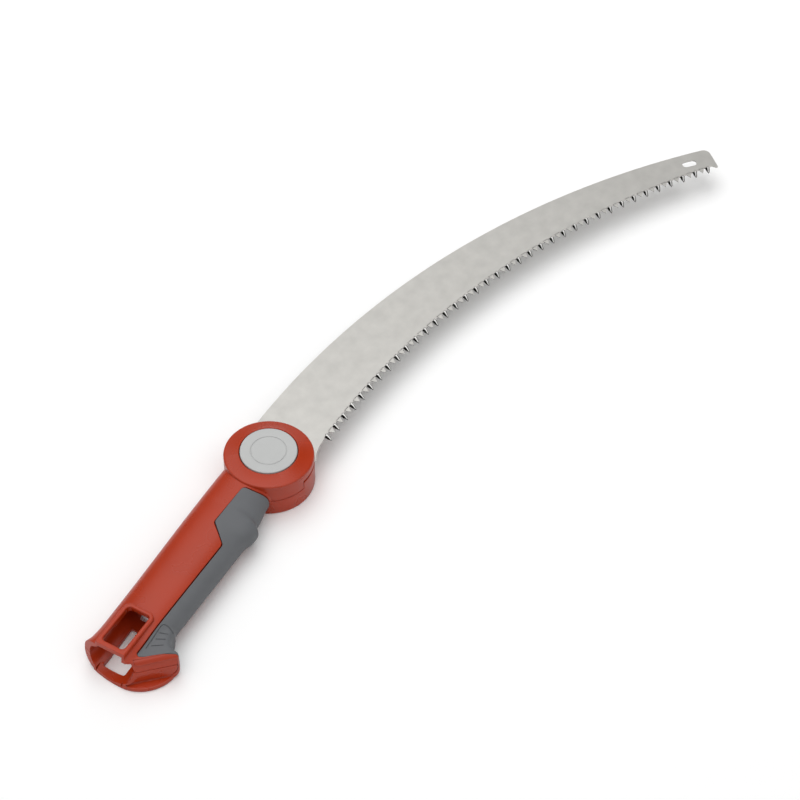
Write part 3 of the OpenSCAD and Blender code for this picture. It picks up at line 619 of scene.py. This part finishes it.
def add_node(tree, kind, inputs=None, **settings):
    """Add a node, set it, and fill or link its inputs."""
    made = tree.nodes.new(kind)
    for name, value in settings.items():
        setattr(made, name, value)
    for name, value in (inputs or {}).items():
        if isinstance(value, bpy.types.NodeSocket):
            tree.links.new(value, made.inputs[name])
        else:
            made.inputs[name].default_value = value
    return made


def new_material(name):
    """An empty material with its output, and the position on the piece in millimetres."""
    material = bpy.data.materials.new(name)
    material.use_nodes = True
    tree = material.node_tree
    tree.nodes.clear()
    place = add_node(tree, "ShaderNodeTexCoord")
    size = add_node(
        tree, "ShaderNodeVectorMath", {0: place.outputs["Object"], 1: (1000, 1000, 1000)},
        operation="MULTIPLY",
    )
    return material, tree, size.outputs[0]


def shade(tree, **inputs):
    """The surface shader and the output that it feeds."""
    shader = add_node(tree, "ShaderNodeBsdfPrincipled", inputs)
    add_node(tree, "ShaderNodeOutputMaterial", {"Surface": shader.outputs[0]})
    return shader


def grain(tree, at, size, detail=2.0, stretch=(1, 1, 1)):
    """Noise whose grains are about a size in millimetres, as a value round one half."""
    spread = add_node(tree, "ShaderNodeMapping", {"Vector": at, "Scale": stretch})
    noise = add_node(
        tree, "ShaderNodeTexNoise",
        {"Vector": spread.outputs[0], "Scale": 1 / size, "Detail": detail},
    )
    return noise.outputs["Fac"]


def ramp(tree, value, low, high):
    """A value's middle spread over a range, as for a gloss."""
    scaled = add_node(
        tree, "ShaderNodeMapRange",
        {"Value": value, "From Min": 0.3, "From Max": 0.7, "To Min": low, "To Max": high},
    )
    return scaled.outputs[0]


def tint(tree, value, dark, light):
    """A colour between two, by a value."""
    mixed = add_node(tree, "ShaderNodeValToRGB", {"Fac": value})
    ends = mixed.color_ramp.elements
    ends[0].position, ends[0].color = 0.3, dark
    ends[1].position, ends[1].color = 0.7, light
    return mixed.outputs["Color"]


def dimmed(colour, share):
    """A share of a colour."""
    return tuple(c * share for c in colour[:3]) + (1.0,)


def painted_casting(colour):
    """Powder paint on die-cast aluminium: satin, with a faint orange peel, and a painted highlight
    that makes its convex edges a lighter red."""
    material, tree, at = new_material("powder_paint_on_die_cast_aluminium")
    peel = grain(tree, at, 0.7)
    cloud = grain(tree, at, 22, 3.0)
    edges = add_node(tree, "ShaderNodeNewGeometry")
    # painted highlight: where pointiness marks a convex edge, the red is mixed up to 35% toward a
    # lighter red
    edge_highlight = add_node(
        tree, "ShaderNodeMapRange",
        {"Value": edges.outputs["Pointiness"], "From Min": 0.52, "From Max": 0.6, "To Max": 0.35},
    )
    tone = add_node(
        tree, "ShaderNodeMix",
        {"Factor": edge_highlight.outputs[0], "A": tint(tree, cloud, dimmed(colour, 0.94), colour),
         "B": tint(tree, peel, dimmed(colour, 1.15), dimmed(colour, 1.3))},
        data_type="RGBA",
    )
    soft = add_node(tree, "ShaderNodeBevel", {"Radius": 0.0005}, samples=6)
    bump = add_node(
        tree, "ShaderNodeBump",
        {"Height": peel, "Strength": 0.12, "Distance": 0.0001, "Normal": soft.outputs[0]},
    )
    shade(
        tree, **{"Base Color": tone.outputs["Result"], "Roughness": ramp(tree, cloud, 0.26, 0.31),
                 "IOR": 1.5, "Normal": bump.outputs[0]}
    )
    return material


def moulded_rubber(colour):
    """Moulded thermoplastic rubber: matte, spark-eroded texture, slightly polished by the palm."""
    material, tree, at = new_material("moulded_thermoplastic_rubber")
    pits = grain(tree, at, 0.45, 3.0)
    palm = grain(tree, at, 18, 2.0)
    soft = add_node(tree, "ShaderNodeBevel", {"Radius": 0.0006}, samples=6)
    bump = add_node(
        tree, "ShaderNodeBump",
        {"Height": pits, "Strength": 0.35, "Distance": 0.00015, "Normal": soft.outputs[0]},
    )
    shade(
        tree, **{"Base Color": tint(tree, palm, dimmed(colour, 0.93), dimmed(colour, 1.04)),
                 "Roughness": ramp(tree, palm, 0.5, 0.6), "IOR": 1.5, "Normal": bump.outputs[0]}
    )
    return material


def moulded_abs(colour):
    """Moulded ABS: fine satin mould texture with a faint flow of tone."""
    material, tree, at = new_material("satin_moulded_ABS")
    pits = grain(tree, at, 0.3)
    flow = grain(tree, at, 9, 3.0)
    soft = add_node(tree, "ShaderNodeBevel", {"Radius": 0.0003}, samples=6)
    bump = add_node(
        tree, "ShaderNodeBump",
        {"Height": pits, "Strength": 0.15, "Distance": 0.0001, "Normal": soft.outputs[0]},
    )
    shade(
        tree, **{"Base Color": tint(tree, flow, dimmed(colour, 0.96), colour),
                 "Roughness": ramp(tree, flow, 0.38, 0.46), "IOR": 1.53, "Normal": bump.outputs[0]}
    )
    return material


def ground_steel(name, colour, rough=0.34, tone=0.1):
    """Ground steel: fine scratches across the blade, a few mottled clouds in its shine."""
    material, tree, at = new_material(name)
    scratch = grain(tree, at, 0.5, 2.0, (0.06, 1.6, 1))
    cloud = grain(tree, at, 9, 4.0)
    bump = add_node(
        tree, "ShaderNodeBump", {"Height": scratch, "Strength": 0.05, "Distance": 0.0001}
    )
    shade(
        tree, **{"Base Color": tint(tree, cloud, dimmed(colour, 1 - tone), colour),
                 "Metallic": 1.0, "Roughness": ramp(tree, scratch, rough - 0.05, rough + 0.05),
                 "Normal": bump.outputs[0]}
    )
    return material


def inner_finish(name, colour, roughness, metallic, size, depth):
    """A finish for the pieces inside: grain of a size in its height, its tone and its gloss."""
    material, tree, at = new_material(name)
    noise = grain(tree, at, size, 3.0)
    bump = add_node(
        tree, "ShaderNodeBump", {"Height": noise, "Strength": depth, "Distance": 0.0002}
    )
    shade(
        tree, **{"Base Color": tint(tree, noise, dimmed(colour, 0.85), colour),
                 "Roughness": ramp(tree, noise, roughness - 0.06, roughness + 0.06),
                 "Metallic": metallic, "Normal": bump.outputs[0]}
    )
    return material


# --- user's settings ----------------------------------------------------------------------------


class SawLooks(bpy.types.PropertyGroup):
    """Colours and small sizes of the saw head's looks."""

    shell_red: FloatVectorProperty(
        name="Casing", description="Paint colour of the casing", subtype="COLOR", size=4,
        default=linear("#AC3310"),
    )
    grip_grey: FloatVectorProperty(
        name="Grip", description="Colour of the soft grip", subtype="COLOR", size=4,
        default=linear("#636568"),
    )
    button_grey: FloatVectorProperty(
        name="Button", description="Colour of the push button", subtype="COLOR", size=4,
        default=linear("#BCBDBC"),
    )
    blade_steel: FloatVectorProperty(
        name="Blade", description="Colour of the blade's steel", subtype="COLOR", size=4,
        default=linear("#DAD8D3"),
    )
    ring_groove: FloatProperty(
        name="Button's ring", description="Radius of the ring engraved in the button",
        subtype="DISTANCE", unit="LENGTH", default=11.2 * MM, min=4 * MM, max=15 * MM,
    )
    lamp_power: FloatProperty(
        name="Lamp power", description="Power of the studio lamp in watts", unit="POWER",
        default=6.0, min=0.0,
    )


# --- operators ----------------------------------------------------------------------------------


def hub_sector(gap=0.0):
    """Plan of the hub's rear, where the upper shell's wall reaches down to the parting line."""
    start = SLOT_BACK_DEG - gap
    span = 360 - SLOT_FINGER_DEG + gap - start
    return [Vector((0, 0))] + [polar(FAR, start + span * i / 12) for i in range(13)]


def quarter(centre_r, centre_z, radius, start, steps=8):
    """Profile points of a quarter round, from an angle on."""
    return [
        (centre_r + radius * math.cos(a), centre_z + radius * math.sin(a))
        for a in (math.radians(start + 90 * i / steps) for i in range(steps + 1))
    ]


def legs(length, width, low, high):
    """Three upright bars round the axis, as the button's legs or the holes for them."""
    bars = []
    for degrees in LEG_DEGREES:
        bar = block((LEG_AT - length / 2, -width / 2, low), (LEG_AT + length / 2, width / 2, high))
        bars.append(moved(bar, Matrix.Rotation(math.radians(degrees), 4, "Z")))
    return bars


def top_ring():
    """Ring round the button: level at the button, and falling to the rim towards the blade."""
    ring = turned(
        [(0, WEB_Z), (WELL_R, WEB_Z), (WELL_R, WELL_Z), (WELL_OUT_R, WELL_Z),
         (WELL_OUT_R, SLOT_HIGH + 2.6), (COLLAR_R, SLOT_HIGH + 1.4), (COLLAR_R, SLOT_HIGH),
         (HUB_R - EDGE_BREAK, SLOT_HIGH), (HUB_R, SLOT_HIGH + EDGE_BREAK)]
        + quarter(HUB_R - HUB_EDGE, HUB_H - HUB_EDGE, HUB_EDGE, 0)
        + [(WELL_R + 0.6, HUB_H), (WELL_R + 0.2, HUB_H - 0.15), (WELL_R, HUB_H - 0.55),
           (WELL_R, WEB_TOP), (0, WEB_TOP)],
        240,
    )
    for v in ring.verts:
        if v.co.z > WEB_TOP + 2 and v.co.xy.length > HUB_R - HUB_EDGE - 0.1:
            v.co.z -= RING_FALL + RING_TILT * v.co.x / HUB_R
    for hole in legs(LEG_T + 0.8, LEG_W + 0.8, 15, 25):
        ring = combine(ring, hole)
    return ring


class SAW_OT_casing(bpy.types.Operator):
    """Build the painted casing's upper and lower halves with the hub"""

    bl_idname = "saw.casing"
    bl_label = "Casing"

    def execute(self, context):
        paint = painted_casting(tuple(context.scene.saw_looks.shell_red))
        whole = casing_handle()

        # upper half: handle, ring round the button, wall at the rear down to the parting line
        upper = half(whole.copy(), True)
        low = PART_Z + PART_GAP
        skirt = turned([(COLLAR_R, low), (HUB_R - 0.2, low), (HUB_R, low + 0.2),
                        (HUB_R, SLOT_HIGH + 0.6), (COLLAR_R, SLOT_HIGH + 0.6)], 240)
        skirt = combine(skirt, prism(hub_sector(), 0, 40), "INTERSECT")
        upper = combine(upper, skirt, "UNION")
        upper = combine(upper, top_ring(), "UNION")
        finish_piece(upper, "upper_casing", "handle", [paint], ["upper_shell"])

        # lower half: handle and the hub's drum
        lower = half(whole, False)
        drum = turned(
            [(0, 0)] + quarter(HUB_R - DRUM_ROUND, DRUM_ROUND, DRUM_ROUND, -90)
            + [(HUB_R, SLOT_LOW - EDGE_BREAK), (HUB_R - EDGE_BREAK, SLOT_LOW),
               (ROOM_R, SLOT_LOW), (ROOM_R, FLOOR_T), (0, FLOOR_T)],
            240,
        )
        high = PART_Z - PART_GAP
        room = turned([(COLLAR_R - 0.1, high), (40, high), (40, 40), (COLLAR_R - 0.1, 40)])
        room = combine(room, prism(hub_sector(0.9), 0, 60), "INTERSECT")
        lower = combine(lower, combine(drum, room), "UNION")
        for spot in SCREW_SPOTS:
            lower = combine(lower, post(SCREW_HEAD_R + FIT_GAP, -1, SCREW_SEAT_Z, spot))
        finish_piece(lower, "lower_casing", "handle", [paint], ["lower_shell"])
        return {"FINISHED"}


def engraved_lines():
    """The thumb pad's engraved outline and its three short grooves, as upright walls."""
    lines = [
        [(-159.1, -15.8), (-141.6, -15.2), (-140.0, -16.0), (-139.4, -18.3), (-140.2, -21.0),
         (-141.2, -22.8)],
        [(-146.0, -16.6), (-143.9, -21.2)],
        [(-150.6, -17.0), (-147.7, -22.0)],
        [(-156.0, -17.4), (-151.8, -23.2)],
    ]
    walls = []
    for line in lines:
        points = [Vector(p) for p in line]
        sides = []
        for i, p in enumerate(points):
            ahead = (points[min(i + 1, len(points) - 1)] - points[max(i - 1, 0)]).normalized()
            sides.append(Vector((-ahead.y, ahead.x)) * GROOVE_W / 2)
        outline = [p + q for p, q in zip(points, sides)] + [
            p - q for p, q in zip(points[::-1], sides[::-1])
        ]
        walls.append(prism(outline, 10, 40))
    return walls


class SAW_OT_grip(bpy.types.Operator):
    """Build the soft grip with its finger hook and thumb pad"""

    bl_idname = "saw.grip"
    bl_label = "Soft grip"

    def execute(self, context):
        rubber = moulded_rubber(tuple(context.scene.saw_looks.grip_grey))
        grip = combine(outside().copy(), grip_seat(0), "INTERSECT")
        grip = combine(grip, prism(flange_plan(), -1, FLANGE_T + 0.1))
        grip = combine(grip, face_cut(FLANGE_T))
        core = outside().copy()
        core.normal_update()
        for v in core.verts:
            v.co -= v.normal * GROOVE_DEPTH
        for wall in engraved_lines():
            grip = combine(grip, combine(wall, core.copy()))
        finish_piece(grip, "soft_grip", "handle", [rubber], ["grip"])
        return {"FINISHED"}


class SAW_OT_button(bpy.types.Operator):
    """Build the push button with its dished face and engraved ring"""

    bl_idname = "saw.button"
    bl_label = "Push button"

    def execute(self, context):
        looks = context.scene.saw_looks
        plastic = moulded_abs(tuple(looks.button_grey))
        low = BUTTON_TOP - BUTTON_T
        groove = looks.ring_groove / MM

        def dish(r):
            return BUTTON_TOP - 0.08 - 0.42 * smooth((BUTTON_R - 1.6 - r) / 12)

        face = quarter(BUTTON_R - 0.6, BUTTON_TOP - 0.6, 0.6, 0)
        face += [(r, dish(r)) for r in (BUTTON_R - 1.6, 15, 13.6, 12.4)]
        face += [(groove + 0.38, dish(groove)), (groove + 0.25, dish(groove) - 0.35),
                 (groove - 0.25, dish(groove) - 0.35), (groove - 0.38, dish(groove))]
        face += [(r, dish(r)) for r in (groove - 1.2, 8.5, 6, 3, 0)]
        cap = turned([(0, low), (BUTTON_R - 0.3, low), (BUTTON_R, low + 0.3)] + face, 200)
        for leg in legs(LEG_T, LEG_W, GEAR_TOP, low + 0.5):
            cap = combine(cap, leg, "UNION")
        finish_piece(cap, "push_button", "button", [plastic], ["button"], 40)
        return {"FINISHED"}


def on_edge(degrees, radius):
    """A place on the tooth line's curve, by its angle from the curve's top."""
    return EDGE_C + polar(radius, 90 - degrees)


def blade_end():
    """Where the blade's straight end meets the tooth line, and the angle of that place."""
    out = polar(1, 90 - TIP_DEG)
    across = SPINE_C - EDGE_C
    along = -across.dot(out) + math.sqrt(across.dot(out) ** 2 - across.dot(across) + EDGE_R**2)
    end = SPINE_C + along * out
    return end, math.degrees(math.atan2(end.x - EDGE_C.x, end.y - EDGE_C.y))


TOOTH_DEG = math.degrees(TOOTH_PITCH / EDGE_R)
HEEL_DEG = math.degrees(math.asin((HEEL_X - EDGE_C.x) / EDGE_R))
TEETH = math.floor((blade_end()[1] - HEEL_DEG) / TOOTH_DEG)
ROOT_R = EDGE_R + TOOTH_ROOT


def blade_band():
    """The blade without its teeth: disc, spine, rounded end, heel and hanging slot."""
    out, ahead = polar(1, 90 - TIP_DEG), polar(1, -TIP_DEG)
    end, end_deg = blade_end()
    teeth_deg = TEETH * TOOTH_DEG
    corner = SPINE_C + (SPINE_R - TIP_ROUND) * out - TIP_ROUND * ahead
    outline = [Vector((0, SPINE_C.y + SPINE_R - 2.3)), Vector((14, SPINE_C.y + SPINE_R - 0.2))]
    outline += [SPINE_C + polar(SPINE_R, 90 - (TIP_DEG - 0.6) * i / 120) for i in range(121)]
    outline += [corner + polar(TIP_ROUND, 90 - TIP_DEG - 15 * i) for i in range(1, 7)]
    outline += [end, on_edge(end_deg - 0.12, EDGE_R)]
    outline += [on_edge(HEEL_DEG + teeth_deg * (1 - i / 74), ROOT_R) for i in range(75)]
    heel = Vector((HEEL_X - 3, EDGE_C.y + EDGE_R + 1.65 - HEEL_ROUND))
    outline += [heel + polar(HEEL_ROUND, 90 + 2 * i) for i in range(17)]
    outline += [Vector((HEEL_X / 4, -BLADE_DISC_R * 0.9)), Vector((-2, 0))]
    band = prism(outline, BLADE_Z, BLADE_Z + BLADE_T)
    disc = post(BLADE_DISC_R, BLADE_Z, BLADE_Z + BLADE_T, segments=160)
    band = combine(band, disc, "UNION")
    band = combine(band, post(BLADE_HOLE_R, 0, 40, segments=120))
    slot_deg = TIP_DEG - math.degrees(HANG_BACK / SPINE_R)
    spot = SPINE_C + polar(SPINE_R - HANG_IN, 90 - slot_deg)
    turn = Matrix.Rotation(math.radians(-TIP_DEG), 2)
    half_len = (HANG_LEN - HANG_W) / 2
    hole = [
        spot + turn @ (Vector((side * half_len, 0)) + polar(HANG_W / 2, -90 * side + 15 * i))
        for side in (1, -1)
        for i in range(13)
    ]
    return combine(band, prism(hole, 0, 40))


def saw_teeth():
    """The teeth in pairs: one ground above to a ridge with a painted highlight, then a plain one
    bevelled below.

    Each place is given in teeth along the edge and in millimetres behind the tooth line."""
    saw = bmesh.new()
    deep = TOOTH_ROOT + 0.5
    ridge = ((0.38, deep), (0.37, 1.2), (0.22, -0.5), (0.03, -2.5),
             (0.17, -2.1), (0.47, 0.4), (0.64, 2.1), (0.68, deep))
    wide = ((0.15, deep), (0.19, 2.7), (0.11, 0.5), (0.13, -2.7),
            (0.43, -1.5), (0.72, 1.0), (0.89, 2.7), (0.93, deep))
    flat = ((0.08, deep), (0.12, 2.3), (0.2, 0.6), (0.35, -1.45),
            (0.61, 0), (0.81, 1.5), (0.92, 2.4), (0.94, deep))
    thin = ((0.2, deep), (0.24, 2.4), (0.34, 1.0), (0.47, -0.9),
            (0.58, 0.2), (0.76, 1.6), (0.86, 2.5), (0.88, deep))
    for i in range(TEETH):
        above, below = (flat, thin) if i % 2 else (ridge, wide)
        start = HEEL_DEG + (i - 0.23) * TOOTH_DEG
        top, low = (
            [
                saw.verts.new((*on_edge(start + TOOTH_DEG * along, EDGE_R + behind), z))
                for along, behind in plan
            ]
            for plan, z in ((above, BLADE_Z + BLADE_T), (below, BLADE_Z))
        )
        # painted highlight: the ridge tooth's top face takes a near-white steel
        saw.faces.new(top).material_index = 0 if i % 2 else 3
        saw.faces.new(low[::-1])
        for k in range(len(top)):
            flank = saw.faces.new([top[k - 1], low[k - 1], low[k], top[k]])
            # painted shade: flanks 1 to 3, facing the hub, take a near-black steel and the others
            # a mid-dark steel
            flank.material_index = 1 if k in (1, 2, 3) else 2
    bmesh.ops.recalc_face_normals(saw, faces=saw.faces)
    return saw


class SAW_OT_blade(bpy.types.Operator):
    """Build the ground blade with its bevelled teeth"""

    bl_idname = "saw.blade"
    bl_label = "Blade"

    def execute(self, context):
        colour = tuple(context.scene.saw_looks.blade_steel)
        steel = ground_steel("satin_ground_steel", colour)
        # the tooth flanks' near-black and mid-dark steels are painted shade
        shaded_flank = ground_steel("hardened_tooth_flank_hubward_painted_shade", linear("#2B2A28"), 0.3, 0.3)
        half_shaded_flank = ground_steel("hardened_tooth_flank_outward_painted_half_shade", linear("#6B6966"), 0.3, 0.3)
        # the near-white ridge steel is a painted highlight
        ridge = ground_steel("ground_tooth_ridge_painted_highlight", linear("#FAF9F6"), 0.3)
        finish_piece(blade_band(), "blade_band", "blade", [steel], ["blade"], 20)
        finish_piece(
            saw_teeth(), "blade_teeth", "blade",
            [steel, shaded_flank, half_shaded_flank, ridge], (), 10,
        )
        return {"FINISHED"}


class SAW_OT_inner(bpy.types.Operator):
    """Give the inner pieces their metal and plastic finishes"""

    bl_idname = "saw.inner"
    bl_label = "Inner pieces"

    def execute(self, context):
        zinc = inner_finish("zinc_plated_steel", linear("#B4B6B8"), 0.34, 1.0, 0.8, 0.05)
        sinter = inner_finish("sintered_steel", linear("#6A6C70"), 0.5, 1.0, 0.25, 0.3)
        spring = inner_finish("drawn_spring_steel", linear("#C4C4C6"), 0.28, 1.0, 0.5, 0.05)
        slide = inner_finish("natural_acetal", linear("#E4E1D6"), 0.4, 0.0, 0.6, 0.05)
        finishes = {
            "fastener_steel": zinc, "hard_steel": sinter, "spring_steel": spring,
            "washer_plastic": slide,
        }
        for part in frame["record"]["subparts"]:
            if part["material_slot"] in finishes:
                mesh = frame["nodes"][part["node"]].data
                mesh.materials.clear()
                mesh.materials.append(finishes[part["material_slot"]])
        return {"FINISHED"}


def lay_floor(scene):
    """A pale floor that the camera sees as white."""
    bm = bmesh.new()
    bmesh.ops.create_grid(bm, x_segments=1, y_segments=1, size=FLOOR_SIZE)
    mesh = bpy.data.meshes.new("floor")
    bm.to_mesh(mesh)
    bm.free()
    floor = bpy.data.objects.new("floor", mesh)
    floor.location.z = FLOOR_Z
    scene.collection.objects.link(floor)
    material, tree, _ = new_material("pale_studio_floor")
    seen = add_node(tree, "ShaderNodeLightPath").outputs["Is Camera Ray"]
    pale = add_node(
        tree, "ShaderNodeMix",
        {"Factor": seen, "A": linear("#E6E6E6"), "B": (1.0, 1.0, 1.0, 1.0)}, data_type="RGBA",
    )
    shade(tree, **{"Base Color": pale.outputs["Result"], "Roughness": 1.0})
    mesh.materials.append(material)


def light_room(scene):
    """Soft room light, bright overhead and dim lower down, before a white backdrop."""
    world = bpy.data.worlds.new("studio")
    scene.world = world
    world.use_nodes = True
    tree = world.node_tree
    tree.nodes.clear()
    way = add_node(tree, "ShaderNodeTexCoord").outputs["Generated"]
    height = add_node(tree, "ShaderNodeSeparateXYZ", {"Vector": way}).outputs["Z"]
    room = add_node(tree, "ShaderNodeValToRGB", {"Fac": height})
    stops = room.color_ramp.elements
    for k, (place, level) in enumerate(ROOM_LEVELS):
        stop = stops[k] if k < 2 else stops.new(place)
        stop.position, stop.color = place, (level, level, level, 1)
    light = room.outputs["Color"]
    for degrees, rise, inner, outer, level in FLAGS:
        up = math.radians(rise)
        toward = Vector((*polar(math.cos(up), degrees), math.sin(up)))
        facing = add_node(
            tree, "ShaderNodeVectorMath", {0: way, 1: toward}, operation="DOT_PRODUCT"
        )
        shaded = add_node(
            tree, "ShaderNodeMapRange",
            {"Value": facing.outputs["Value"], "From Min": outer, "From Max": inner,
             "To Min": 1.0, "To Max": level},
            interpolation_type="SMOOTHSTEP",
        )
        light = add_node(
            tree, "ShaderNodeVectorMath", {0: light, 1: shaded.outputs[0]}, operation="MULTIPLY"
        ).outputs[0]
    sky = add_node(tree, "ShaderNodeBackground", {"Color": light, "Strength": 1.0})
    backdrop = add_node(tree, "ShaderNodeBackground", {"Color": (1, 1, 1, 1), "Strength": 1.0})
    seen = add_node(tree, "ShaderNodeLightPath").outputs["Is Camera Ray"]
    both = add_node(
        tree, "ShaderNodeMixShader", {0: seen, 1: sky.outputs[0], 2: backdrop.outputs[0]}
    )
    add_node(tree, "ShaderNodeOutputWorld", {"Surface": both.outputs[0]})


def hang_lamp(scene):
    """A softbox above, which shows in no reflection."""
    lamp = bpy.data.lights.new("softbox", "AREA")
    lamp.shape, lamp.size, lamp.energy = "SQUARE", LAMP_SIZE, scene.saw_looks.lamp_power
    holder = bpy.data.objects.new("softbox", lamp)
    holder.location = LAMP_AT
    holder.visible_glossy = False
    aim = Vector(LAMP_AIM) - holder.location
    holder.rotation_euler = aim.to_track_quat("-Z", "Y").to_euler()
    scene.collection.objects.link(holder)


def set_camera(scene):
    """The camera, looking down past the handle's end along the saw."""
    camera = bpy.data.cameras.new("camera")
    camera.lens, camera.sensor_width = CAMERA_LENS, CAMERA_SENSOR
    holder = bpy.data.objects.new("camera", camera)
    holder.location = CAMERA_AT
    holder.rotation_euler = (math.radians(CAMERA_TILT), 0, math.radians(CAMERA_TURN))
    scene.collection.objects.link(holder)
    scene.camera = holder


class SAW_OT_stage(bpy.types.Operator):
    """Lay the pale floor and set the room's light, the lamp and the camera"""

    bl_idname = "saw.stage"
    bl_label = "Stage"

    def execute(self, context):
        scene = context.scene
        lay_floor(scene)
        light_room(scene)
        hang_lamp(scene)
        set_camera(scene)
        scene.view_settings.view_transform = "Standard"
        return {"FINISHED"}


class SAW_PT_panel(bpy.types.Panel):
    """The saw head's operators and settings"""

    bl_label = "Pole saw head"
    bl_idname = "SAW_PT_panel"
    bl_space_type = "VIEW_3D"
    bl_region_type = "UI"
    bl_category = "Saw"

    def draw(self, context):
        for name in SawLooks.__annotations__:
            self.layout.prop(context.scene.saw_looks, name)
        for operator in OPERATORS:
            self.layout.operator(operator.bl_idname)


OPERATORS = (SAW_OT_casing, SAW_OT_grip, SAW_OT_button, SAW_OT_blade, SAW_OT_inner, SAW_OT_stage)
CLASSES = (SawLooks, *OPERATORS, SAW_PT_panel)


def register():
    for item in CLASSES:
        bpy.utils.register_class(item)
    bpy.types.Scene.saw_looks = PointerProperty(type=SawLooks)


def unregister():
    del bpy.types.Scene.saw_looks
    for item in reversed(CLASSES):
        bpy.utils.unregister_class(item)


def main():
    register()
    for step in ("casing", "grip", "button", "blade", "inner", "stage"):
        getattr(bpy.ops.saw, step)()


if __name__ == "__main__":
    main()
